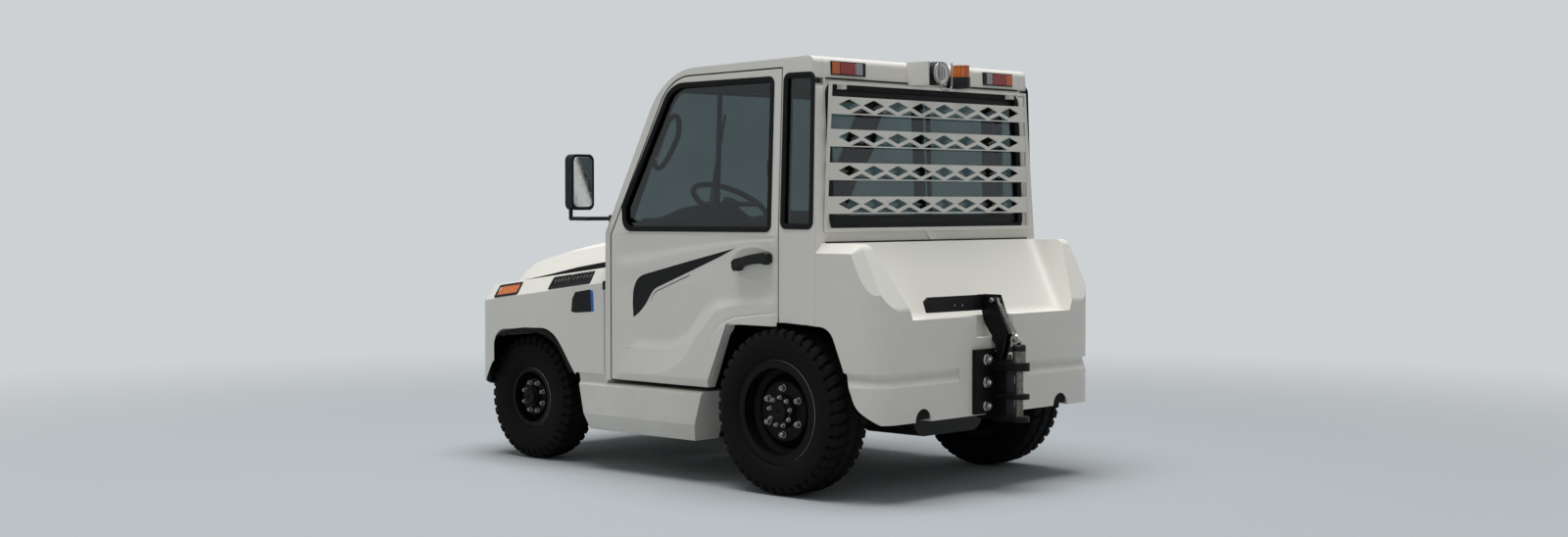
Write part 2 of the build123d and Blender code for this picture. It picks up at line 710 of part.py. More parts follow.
def bonnet_solid(inset):
    front = -front_reach + 14
    faces = []
    for share, low_inset, edge_rise, edge_inset, crown_rise in bonnet_stations:
        y = front + share * (bonnet_rear_y - front)
        place = y + inset * (1 - share)
        low = bonnet_low_z(y) - (1 if inset else 0)
        a = bonnet_half - low_inset - inset
        b = bonnet_half - edge_inset - inset * 0.7
        edge = max(bonnet_low_z(y) + edge_rise - inset, low + 1)
        crown = max(bonnet_low_z(y) + crown_rise - inset, low + 2)
        lines = [
            Line((-a, place, low), (a, place, low)), Line((a, place, low), (b, place, edge)),
            ThreePointArc((b, place, edge), (0, place, crown), (-b, place, edge)),
            Line((-b, place, edge), (-a, place, low)),
        ]
        faces.append(make_face(lines))
    return loft(faces, ruled=True)


def make_bonnet():
    return bonnet_solid(0) - bonnet_solid(bonnet_wall)


# Fittings
def rear_wall_y(z):
    """Outer face of the cab's rear wall at a height."""
    return seam_y - (z - body_top) / (roof_rear_z - body_top) * (seam_y - roof_rear_y)


def make_guard():
    """Rear window guard: a tapered frame with four bands of diamond lattice."""
    low_z, high_z = body_top + 45, roof_front_z - 81
    low_half, high_half = half_width - 50, half_width - 81
    y = seam_y + running_gap
    bar = 12
    ring = along([(-low_half, low_z), (-high_half, high_z), (high_half, high_z), (low_half, low_z)],
                 y, y + 10)
    ring -= along([(-low_half + bar, low_z + bar * 1.4), (-high_half + bar, high_z - bar),
                   (high_half - bar, high_z - bar), (low_half - bar, low_z + bar * 1.4)], y - 1, y + 11)
    guard = ring
    height = high_z - low_z
    band_height = height * 0.116
    count = 8
    pitch = 2 * low_half / 8.92
    rib = 5
    for share in (0.122, 0.346, 0.569, 0.785):
        low = low_z + share * height
        half = low_half - share * (low_half - high_half) - bar * 0.5
        strip = block(-half, half, y + 2, y + 8, low, low + band_height)
        middle = low + band_height * 0.56
        reach = band_height * 0.32
        width = pitch / 2 - rib * 2
        for i in range(count):
            x = pitch * (i - (count - 1) / 2)
            strip -= along([(x - width, middle), (x, middle + reach), (x + width, middle),
                            (x, middle - reach)], y, y + 12)
        for i in range(count - 1):
            x = pitch * (i - (count - 2) / 2)
            strip -= along([(x - width, low + rib), (x, low + rib + reach), (x + width, low + rib)],
                           y, y + 12)
        guard += strip
    foot = along([(-50, low_z + 2), (-14, low_z - 38), (14, low_z - 38), (50, low_z + 2)], y, y + 6)
    stay_z = high_z - 30
    stay = across([(rear_wall_y(stay_z), stay_z), (y + 1, stay_z), (y + 1, high_z - 4),
                   (rear_wall_y(high_z - 4), high_z - 4)], half_width - 190, half_width - 160)
    return guard + foot + both_sides(stay)


def make_hitch_bracket():
    """Plate with three jaws and a lip under the tail."""
    face_y = tail_y + hitch_plate_wall
    low_jaw = tail_low - 27
    bracket = block(-hitch_plate_half, hitch_plate_half, tail_y, face_y, tail_low + 6, tail_low + 278)
    bracket += block(-28, 28, face_y - 1, hitch_pin_y - 45, low_jaw, low_jaw + 260)
    for low, height in ((low_jaw, 22), (low_jaw + 96, 20), (low_jaw + 215, 33)):
        high = low + height
        bracket += block(-hitch_half_width, hitch_half_width, face_y - 1, hitch_pin_y, low, high)
        bracket += rod_z(hitch_half_width, 0, hitch_pin_y, low, high)
    bracket -= rod_z(hitch_pin_radius + 1, 0, hitch_pin_y, low_jaw - 10, low_jaw + 300)
    under = tail_low - running_gap
    bracket += block(-60, 60, tail_y - 50, face_y, under - 18, under)
    bracket += block(-60, 60, tail_y + running_gap, face_y, under - 18, tail_low + 8)
    return bracket


def make_hitch_pin():
    """Drop pin with its collar and cap."""
    seat = tail_low + 221
    pin = rod_z(hitch_pin_radius, 0, hitch_pin_y, seat - 232, seat + 1)
    pin += rod_z(28, 0, hitch_pin_y, seat + running_gap, seat + 52)
    return pin + rod_z(20, 0, hitch_pin_y, seat + 51, seat + 77)


def bar(start, end, radius):
    """Round bar between two points."""
    way = Vector(*end) - Vector(*start)
    middle = (Vector(*end) + Vector(*start)) * 0.5
    return Plane(origin=middle, z_dir=way) * Cylinder(radius, way.length)


def make_hitch_lever():
    """Two-plate stand on the hitch plate, the flat handle across its top and the sprung rod."""
    foot_y = tail_y + hitch_plate_wall + running_gap
    top = scoop_floor + 87
    low = tail_low + 233
    outline = [
        (foot_y, low), (foot_y, low + 62), (tail_y + 4, low + 80), (tail_y + 2, low + 98),
        (tail_y - 36, low + 150), (tail_y - 75, top), (tail_y + 14, top), (tail_y + 77, low + 111),
        (tail_y + 66, low + 61), (tail_y + 48, low),
    ]
    stand = across(outline, -24, -15) + across(outline, 15, 24)
    stand += block(-16, 16, tail_y - 60, tail_y - 40, top - 60, top - 20)
    stand += block(-16, 16, foot_y, foot_y + 12, low, low + 50)
    stand += block(-16, 16, tail_y, tail_y + 10, top - 36, top - 6)
    reach = 425
    handle = along([(-16, top - 65), (-16, top), (reach - 25, top), (reach, top - 17),
                    (reach - 20, top - 64)], tail_y - 47, tail_y - 35)
    for x in (169, 222):
        handle -= rod_y(9, x, tail_y - 60, tail_y, top - 62 + 22)
    pivot = rod_x(9, -30, 30, tail_y + 8, top - 22)
    rod = bar((0, tail_y + 8, top - 22), (0, hitch_pin_y - 12, low + 80), 9)
    return stand + handle + pivot + rod


def make_mirror():
    """Tall mirror head on a bent tube arm from the pillar's foot."""
    arm_z = waist_z + 65
    arm_y = pillar_front_y + 21
    head_y = pillar_front_y - 87
    arm_x = half_width + 130
    head = block(half_width + 10, half_width + 144, head_y - 23, head_y + 22, arm_z + 38, arm_z + 290)
    head = fillet(head.edges().filter_by(Axis.Y), 30)
    arm = rod_x(9, half_width - 40, arm_x, arm_y, arm_z)
    arm += Pos(arm_x, arm_y, arm_z) * Sphere(9)
    arm += rod_y(9, arm_x, head_y, arm_y, arm_z)
    arm += Pos(arm_x, head_y, arm_z) * Sphere(9)
    arm += rod_z(9, arm_x, head_y, arm_z, arm_z + 50)
    foot = block(half_width - 55, half_width - 12, arm_y - 12, arm_y + 40, arm_z - 16, arm_z + 16)
    return head + (arm + foot - cab_solid(0))


def roof_mount(x_low, x_high, reach, low, high):
    """Block that stands back from the rear wall near the roof."""
    return across([(rear_wall_y(low), low), (seam_y + reach, low), (seam_y + reach, high),
                   (rear_wall_y(high), high)], x_low, x_high)


def make_tail_lamps():
    return both_sides(roof_mount(half_width - 347, half_width - 132, -31, roof_rear_z - 76, roof_rear_z - 20))


def make_work_lamp():
    """Round lamp in a U-shaped bracket."""
    low, high = roof_rear_z - 102, roof_rear_z - 2
    wide, reach, wall = 119, 88, 7
    left = 131
    bracket = roof_mount(left - wide, left, reach, low, high)
    bracket -= block(left - wide + wall, left - wall, seam_y - 10, seam_y + reach + 5, low - 1, high + 1)
    middle = (low + high) / 2
    lamp_x = left - wide / 2
    lamp = rod_y(50, lamp_x, seam_y + 34, seam_y + 112, middle)
    return bracket + lamp + rod_x(6, left - wide + 2, left - 2, seam_y + 72, middle)


def make_beacon():
    """Lens on a round base that a block holds off the wall."""
    low, middle, high = roof_rear_z - 102, roof_rear_z - 52, roof_rear_z - 3
    x, y = -180, seam_y + 16
    base = roof_mount(x - 36, x + 36, 16, low, middle) + rod_z(42, x, y, low, middle)
    return base + rod_z(39, x, y, middle - 1, high)


def make_headlamps():
    """Round lamps beside the grille."""
    y = -front_reach
    lamp = rod_y(headlamp_radius, headlamp_x, y - 3, y + 45, headlamp_z)
    return both_sides(chamfer(lamp.edges().filter_by(lambda e: e.center().Y < y), 3))


def make_turn_lamps():
    """Lamps set in the bevels near the nose."""
    lens = fender_solid(-1) - fender_solid(20)
    return both_sides(lens & bevel_zone(lamp_front_y, lamp_rear_y, running_gap, 22))


# Cabin
def make_seat_cushion():
    low = deck_z + seat_base_height + running_gap
    cushion = block(seat_inner, seat_outer, riser_y + 25, 25, low, low + 95)
    return both_sides(fillet(cushion.edges().filter_by(Axis.Z), 50))


def make_seat_back():
    low = deck_z + running_gap
    back = across([(30, low), (72, low + 380), (145, low + 380), (140, low)], seat_inner + 10,
                  seat_outer - 10)
    return both_sides(back)


wheel_tilt = -30
wheel_centre = (half_width - 420, pillar_front_y + 385, waist_z + 130)


def make_steering_wheel():
    rim = Torus(180, 13)
    hub = Cylinder(40, 30)
    spokes = Box(340, 26, 12) + Pos(0, 85, 0) * Box(26, 170, 12)
    return Pos(*wheel_centre) * Rot(wheel_tilt, 0, 0) * (rim + hub + spokes)


def make_dashboard():
    """Full-width dash with an instrument hood, and the steering column rising from it."""
    front = pillar_front_y + cab_wall
    depth = 195
    rear = front + depth
    top = waist_z - 25
    low = top - 370
    dash = across([
        (front, low), (front, top), (front + 28, top + 36), (rear - 30, top + 36), (rear, top),
        (rear - 20, top - 100), (rear - 110, low),
    ], 20 - split_x, split_x - 20)
    hood_x, hood_half = wheel_centre[0], 140
    hood = across([(rear - 135, top + 30), (rear - 90, top + 118), (rear - 30, top + 126),
                   (rear + 4, top + 30)], hood_x - hood_half, hood_x + hood_half)
    length = 430
    column = Pos(0, 0, -15 - running_gap - length / 2) * Cylinder(26, length)
    return dash + hood + Pos(*wheel_centre) * Rot(wheel_tilt, 0, 0) * column


def make_power_unit():
    half = rail_x + rail_width / 2
    low = rail_low + rail_height
    return block(-half, half, front_axle_y - 195, pillar_front_y - 75, low, low + 380)


left_side, roof, rear_wall, front_wall, panes = make_cab_parts()
fender, nose = make_fender_parts()
door = make_door()
door_glass = make_door_glass()
knuckle = make_knuckle()

rear_tyre = make_tyre(rear_tyre_x, 0, rear_tyre_radius, rear_tyre_width, rear_bead_radius,
                      rear_flange_radius, rear_rim_half)
front_tyre = make_tyre(front_tyre_x, front_axle_y, front_tyre_radius, front_tyre_width,
                       front_bead_radius, front_flange_radius, front_rim_half)
rear_rim = make_rim(rear_tyre_x, 0, rear_tyre_radius, rear_bead_radius, rear_flange_radius,
                    rear_well_radius, rear_rim_half, rear_disc_x, rear_hub_radius, rear_end_x)
front_rim = make_rim(front_tyre_x, front_axle_y, front_tyre_radius, front_bead_radius,
                     front_flange_radius, front_well_radius, front_rim_half, front_disc_x,
                     front_hub_radius, front_end_x)

nodes = {
    "chassis_frame": make_frame(),
    "front_axle": make_front_axle(),
    "rear_axle": make_rear_axle(),
    "power_unit": make_power_unit(),
    "rear_body": make_rear_body(),
    "cab_floor": make_floor(),
    "cab_side_left": left_side,
    "cab_side_right": right_hand(left_side),
    "cab_roof": roof,
    "cab_rear_wall": rear_wall,
    "cab_front_wall": front_wall,
    "cab_windows": panes,
    "door_left": door,
    "door_right": right_hand(door),
    "door_glass_left": door_glass,
    "door_glass_right": right_hand(door_glass),
    "side_skirts": make_skirts(),
    "fender_left": fender,
    "fender_right": right_hand(fender),
    "nose_panel": nose,
    "bonnet": make_bonnet(),
    "headlamps": make_headlamps(),
    "turn_lamps": make_turn_lamps(),
    "rear_guard": make_guard(),
    "tail_lamps": make_tail_lamps(),
    "work_lamp": make_work_lamp(),
    "beacon": make_beacon(),
    "mirrors": both_sides(make_mirror()),
    "hitch_bracket": make_hitch_bracket(),
    "hitch_pin": make_hitch_pin(),
    "hitch_lever": make_hitch_lever(),
    "seat_cushions": make_seat_cushion(),
    "seat_backs": make_seat_back(),
    "dashboard": make_dashboard(),
    "steering_wheel": make_steering_wheel(),
    "knuckle_left": knuckle,
    "knuckle_right": right_hand(knuckle),
    "front_rim_left": front_rim,
    "front_rim_right": right_hand(front_rim),
    "front_tyre_left": front_tyre,
    "front_tyre_right": right_hand(front_tyre),
    "rear_rim_left": rear_rim,
    "rear_rim_right": right_hand(rear_rim),
    "rear_tyre_left": rear_tyre,
    "rear_tyre_right": right_hand(rear_tyre),
}

shift = Pos(0, (front_reach - hitch_reach) / 2, 0)
for name, piece in nodes.items():
    export_step(shift * piece, f"parts/{name}.step")
print(len(nodes), "nodes written")
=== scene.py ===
import bpy
import math
import numpy as np
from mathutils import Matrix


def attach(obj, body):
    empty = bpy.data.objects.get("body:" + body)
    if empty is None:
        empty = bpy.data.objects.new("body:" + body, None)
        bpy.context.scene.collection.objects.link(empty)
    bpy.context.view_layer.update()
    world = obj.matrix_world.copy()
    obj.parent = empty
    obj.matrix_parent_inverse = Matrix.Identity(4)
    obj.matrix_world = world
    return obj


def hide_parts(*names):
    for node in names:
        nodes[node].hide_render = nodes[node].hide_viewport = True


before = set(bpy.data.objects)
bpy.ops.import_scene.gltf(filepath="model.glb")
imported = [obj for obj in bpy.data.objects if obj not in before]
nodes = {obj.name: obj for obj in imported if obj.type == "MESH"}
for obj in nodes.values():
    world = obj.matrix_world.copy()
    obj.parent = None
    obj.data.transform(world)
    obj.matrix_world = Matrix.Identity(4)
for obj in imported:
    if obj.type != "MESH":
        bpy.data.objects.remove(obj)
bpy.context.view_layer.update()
rearAxle = 0.6675  # metres; the y of every shape is measured from the rear axle, rearwards positive


# Camera: the photograph's standpoint, level with the driver's chest
camera = {"place": (6.8139, 6.4213, 1.2295), "turn": 223.3594, "tilt": -1.9259, "lens": 46.144}
cameraData = bpy.data.cameras.new("camera")
cameraData.lens = camera["lens"]
cameraData.sensor_width = 36
cameraObject = bpy.data.objects.new("camera", cameraData)
cameraObject.location = camera["place"]
cameraObject.rotation_euler = (math.radians(90 + camera["tilt"]), 0, math.radians(camera["turn"] - 90))
bpy.context.collection.objects.link(cameraObject)
bpy.context.scene.camera = cameraObject
bpy.context.scene.view_settings.view_transform = "Standard"


# Materials
def toLinear(hexText):  # sRGB hex to linear: (c + 0.055) / 1.055 to the power 2.4 above 0.04
    parts = [int(hexText[i:i + 2], 16) / 255 for i in (1, 3, 5)]
    return [c / 12.92 if c < 0.04045 else ((c + 0.055) / 1.055) ** 2.4 for c in parts] + [1.0]


def addNode(tree, kind, settings=None, links=None):  # one node, its sockets and fields set, its inputs linked
    node = tree.nodes.new(kind)
    for key, value in (settings or {}).items():
        if isinstance(key, str) and hasattr(node, key):
            setattr(node, key, value)
        else:
            node.inputs[key].default_value = value
    for key, source in (links or {}).items():
        tree.links.new(source, node.inputs[key])
    return node


waveTurn = 6.283  # a wave texture repeats every pi / (10 scale) metres, so a size is about half a repeat
dustZone = (0.75, 0.15)  # metres: road dust starts at the first height and is full at the second


def startMaterial(name, shader):  # a surface with its shader's fixed values, and places on the object
    material = bpy.data.materials.new(name)
    material.use_nodes = True
    tree = material.node_tree
    tree.nodes.clear()
    surface = addNode(tree, "ShaderNodeBsdfPrincipled", shader)
    addNode(tree, "ShaderNodeOutputMaterial", links={"Surface": surface.outputs[0]})
    place = addNode(tree, "ShaderNodeTexCoord").outputs["Object"]
    return material, tree, surface, place


def finished(material, surface, colour, relief=None, dull=None):  # links what was worked out to the surface
    for socket, source in (("Base Color", colour), ("Normal", relief), ("Roughness", dull)):
        if source is not None:
            material.node_tree.links.new(source, surface.inputs[socket])
    return material


def lacquer(name, look):
    # sprayed two-layer lacquer on sheet steel: even and glossy, faint orange peel, road dust low down
    material, tree, surface, place = startMaterial(name, {
        "Metallic": 0.0, "IOR": 1.5, "Coat Weight": look["coat"], "Coat Roughness": 0.06,
        "Specular IOR Level": look.get("gloss", 0.5)})
    parts = addNode(tree, "ShaderNodeSeparateXYZ", links={0: place}).outputs
    normal = addNode(tree, "ShaderNodeTexCoord").outputs["Normal"]
    cloud = addNode(tree, "ShaderNodeTexNoise", {
        "Scale": 1000 / look["cloudSize"], "Detail": 5.0, "Roughness": 0.6}, {"Vector": place}).outputs["Fac"]
    low = addNode(tree, "ShaderNodeMapRange", {1: dustZone[0], 2: dustZone[1], 3: 0.0, 4: 1.0},
                  {0: parts["Z"]}).outputs[0]
    patch = addNode(tree, "ShaderNodeMapRange", {1: 0.35, 2: 0.75, 3: 0.0, 4: 1.0}, {0: cloud}).outputs[0]
    dust = addNode(tree, "ShaderNodeMath", {"operation": "MULTIPLY"}, {0: low, 1: patch}).outputs[0]
    amount = addNode(tree, "ShaderNodeMath", {"operation": "MULTIPLY", 1: look["dust"]}, {0: dust}).outputs[0]
    colour = addNode(tree, "ShaderNodeMix", {
        "data_type": "RGBA", 6: toLinear(look["colour"]), 7: toLinear(look["dustColour"])},
        {0: amount}).outputs[2]
    if "innerSide" in look:
        # painted shade inside the cab: a face is dark where (place - the cab's middle) . normal is below zero
        arm = addNode(tree, "ShaderNodeVectorMath", {"operation": "SUBTRACT", 1: look["middle"]},
                      {0: place}).outputs[0]
        towards = addNode(tree, "ShaderNodeVectorMath", {"operation": "DOT_PRODUCT"},
                          {0: arm, 1: normal}).outputs["Value"]
        inside = addNode(tree, "ShaderNodeMath", {"operation": "LESS_THAN", 1: 0.0}, {0: towards}).outputs[0]
        colour = addNode(tree, "ShaderNodeMix", {"data_type": "RGBA", 7: toLinear(look["innerSide"])},
                         {0: inside, 6: colour}).outputs[2]
    if "arches" in look:
        # wheel houses are coloured dark: faces within reach of a wheel's axis and behind the body's side that
        # look towards the wheel's outer side, so (|x| - outer, y - cy, z - cz) . normal is below zero
        facing = addNode(tree, "ShaderNodeSeparateXYZ", links={0: normal}).outputs
        across = addNode(tree, "ShaderNodeMath", {"operation": "ABSOLUTE"}, {0: parts["X"]}).outputs[0]
        sign = addNode(tree, "ShaderNodeMath", {"operation": "SIGN"}, {0: parts["X"]}).outputs[0]
        outward = addNode(tree, "ShaderNodeMath", {"operation": "MULTIPLY"},
                          {0: facing["X"], 1: sign}).outputs[0]
        spot = addNode(tree, "ShaderNodeCombineXYZ",
                       links={0: across, 1: parts["Y"], 2: parts["Z"]}).outputs[0]
        way = addNode(tree, "ShaderNodeCombineXYZ",
                      links={0: outward, 1: facing["Y"], 2: facing["Z"]}).outputs[0]
        behind = addNode(tree, "ShaderNodeMath", {"operation": "LESS_THAN", 1: look["side"]},
                         {0: across}).outputs[0]
        for centreY, centreZ, reach in look["arches"]:
            arm = addNode(tree, "ShaderNodeVectorMath", {
                "operation": "SUBTRACT", 1: (look["outer"], centreY, centreZ)}, {0: spot}).outputs[0]
            towards = addNode(tree, "ShaderNodeVectorMath", {"operation": "DOT_PRODUCT"},
                              {0: arm, 1: way}).outputs["Value"]
            flat = addNode(tree, "ShaderNodeVectorMath", {"operation": "MULTIPLY", 1: (0.0, 1.0, 1.0)},
                           {0: arm}).outputs[0]
            far = addNode(tree, "ShaderNodeVectorMath", {"operation": "LENGTH"}, {0: flat}).outputs["Value"]
            near = addNode(tree, "ShaderNodeMath", {"operation": "LESS_THAN", 1: reach}, {0: far}).outputs[0]
            turned = addNode(tree, "ShaderNodeMath", {"operation": "LESS_THAN", 1: 0.0},
                             {0: towards}).outputs[0]
            both = addNode(tree, "ShaderNodeMath", {"operation": "MULTIPLY"}, {0: near, 1: turned}).outputs[0]
            mask = addNode(tree, "ShaderNodeMath", {"operation": "MULTIPLY"}, {0: both, 1: behind}).outputs[0]
            colour = addNode(tree, "ShaderNodeMix", {"data_type": "RGBA", 7: toLinear(look["house"])},
                             {0: mask, 6: colour}).outputs[2]
    dull = addNode(tree, "ShaderNodeMapRange", {
        1: 0.3, 2: 0.7, 3: look["rough"] - 0.04, 4: look["rough"] + 0.06}, {0: cloud}).outputs[0]
    peel = addNode(tree, "ShaderNodeTexNoise", {
        "Scale": 1000 / look["peelSize"], "Detail": 2.0, "Roughness": 0.5}, {"Vector": place}).outputs["Fac"]
    bump = addNode(tree, "ShaderNodeBump", {"Strength": 0.5, "Distance": look["peelDepth"] / 1000},
                   {"Height": peel})
    if "edge" in look:  # pressed sheet has rounded edges, this radius in millimetres
        soft = addNode(tree, "ShaderNodeBevel", {"samples": 4, "Radius": look["edge"] / 1000})
        tree.links.new(soft.outputs[0], bump.inputs["Normal"])
    return finished(material, surface, colour, bump.outputs[0], dull)


def clouded(tree, place, look, cloud):
    # worn in soft clouds: noise from start to 0.8 takes the colour from new to worn, and noise from 0.3 to
    # 0.7 takes the roughness from rough - less to rough + more
    noise = addNode(tree, "ShaderNodeTexNoise", {
        "Scale": 1000 / cloud["size"], "Detail": 4.0, "Roughness": cloud["grain"]},
        {"Vector": place}).outputs["Fac"]
    worn = addNode(tree, "ShaderNodeMapRange", {1: cloud["start"], 2: 0.8, 3: 0.0, 4: 1.0},
                   {0: noise}).outputs[0]
    colour = addNode(tree, "ShaderNodeMix", {
        "data_type": "RGBA", 6: toLinear(look["colour"]), 7: toLinear(look["worn"])}, {0: worn}).outputs[2]
    dull = addNode(tree, "ShaderNodeMapRange", {
        1: 0.3, 2: 0.7, 3: look["rough"] - cloud["less"], 4: look["rough"] + cloud["more"]},
        {0: noise}).outputs[0]
    return colour, dull


def moulded(name, look):
    # injection-moulded plastic or rubber: fine leathery grain, dull, greyer on worn patches
    material, tree, surface, place = startMaterial(name, {
        "Metallic": 0.0, "IOR": 1.46, "Specular IOR Level": look.get("gloss", 0.3)})
    colour, dull = clouded(tree, place, look, {
        "size": look.get("cloudSize", 120), "grain": 0.6, "start": 0.35, "less": 0.07, "more": 0.07})
    grain = addNode(tree, "ShaderNodeTexVoronoi", {"Scale": 1000 / look["grainSize"]}, {"Vector": place})
    bump = addNode(tree, "ShaderNodeBump", {"Strength": 0.6, "Distance": look["grainDepth"] / 1000},
                   {"Height": grain.outputs["Distance"]})
    return finished(material, surface, colour, bump.outputs[0], dull)


def plated(name, look):
    # zinc-plated or turned steel: metallic, fine turning marks, clouded by handling
    material, tree, surface, place = startMaterial(name, {"Metallic": 1.0})
    colour, dull = clouded(tree, place, look, {
        "size": 14, "grain": 0.65, "start": 0.3, "less": 0.08, "more": 0.12})
    marks = addNode(tree, "ShaderNodeTexNoise", {"Scale": 1000 / 2.5, "Detail": 2.0, "Roughness": 0.5},
                    {"Vector": place}).outputs["Fac"]
    bump = addNode(tree, "ShaderNodeBump", {"Strength": 0.5, "Distance": 0.00015}, {"Height": marks})
    return finished(material, surface, colour, bump.outputs[0], dull)


def lens(name, look):
    # moulded acrylic lens: clear colour, ribbed inside to spread the light
    material, tree, surface, place = startMaterial(name, {
        "Metallic": 0.0, "Roughness": 0.12, "IOR": 1.49, "Transmission Weight": look["clear"],
        "Coat Weight": 0.15, "Coat Roughness": 0.05})
    ribs = addNode(tree, "ShaderNodeTexWave", {
        "bands_direction": look["ribs"], "Scale": 1000 / look["ribSize"] / waveTurn, "Distortion": 0.0},
        {"Vector": place}).outputs["Fac"]
    colour = addNode(tree, "ShaderNodeMix", {
        "data_type": "RGBA", 6: toLinear(look["colour"]), 7: toLinear(look["bright"])}, {0: ribs}).outputs[2]
    bump = addNode(tree, "ShaderNodeBump", {"Strength": 0.6, "Distance": 0.0008}, {"Height": ribs})
    return finished(material, surface, colour, bump.outputs[0])


def pane(name, look):
    # tempered safety glass: thin grey-green tint, clean and glossy
    material, tree, surface, place = startMaterial(name, {
        "Metallic": 0.0, "IOR": 1.45, "Transmission Weight": 1.0, "Roughness": 0.0})
    film = addNode(tree, "ShaderNodeTexNoise", {"Scale": 1000 / 260, "Detail": 3.0, "Roughness": 0.5},
                   {"Vector": place}).outputs["Fac"]
    share = addNode(tree, "ShaderNodeMapRange", {1: 0.3, 2: 0.8, 3: 0.0, 4: 1.0}, {0: film}).outputs[0]
    colour = addNode(tree, "ShaderNodeMix", {
        "data_type": "RGBA", 6: toLinear(look["colour"]), 7: toLinear(look["film"])}, {0: share}).outputs[2]
    return finished(material, surface, colour)


def cloth(name, look):
    # woven seat cloth: threads over and under in two directions, light fuzz
    material, tree, surface, place = startMaterial(name, {
        "Metallic": 0.0, "IOR": 1.5, "Sheen Weight": 0.4, "Sheen Roughness": 0.5, "Roughness": 0.9})
    waves = [addNode(tree, "ShaderNodeTexWave", {
        "bands_direction": way, "Scale": 1000 / look["threadSize"] / waveTurn, "Distortion": 1.2,
        "Detail": 1.0}, {"Vector": place}).outputs["Fac"] for way in ("X", "Y")]
    weave = addNode(tree, "ShaderNodeMath", {"operation": "MULTIPLY"}, {0: waves[0], 1: waves[1]}).outputs[0]
    cloud = addNode(tree, "ShaderNodeTexNoise", {"Scale": 1000 / 60, "Detail": 4.0, "Roughness": 0.5},
                    {"Vector": place}).outputs["Fac"]
    fade = addNode(tree, "ShaderNodeMapRange", {1: 0.5, 2: 0.9, 3: 0.0, 4: 0.5}, {0: cloud}).outputs[0]
    shade = addNode(tree, "ShaderNodeMix", {
        "data_type": "RGBA", 6: toLinear(look["dark"]), 7: toLinear(look["light"])}, {0: weave}).outputs[2]
    colour = addNode(tree, "ShaderNodeMix", {"data_type": "RGBA", 7: toLinear(look["faded"])},
                     {0: fade, 6: shade}).outputs[2]
    bump = addNode(tree, "ShaderNodeBump", {"Strength": 0.8, "Distance": 0.0006}, {"Height": weave})
    return finished(material, surface, colour, bump.outputs[0])


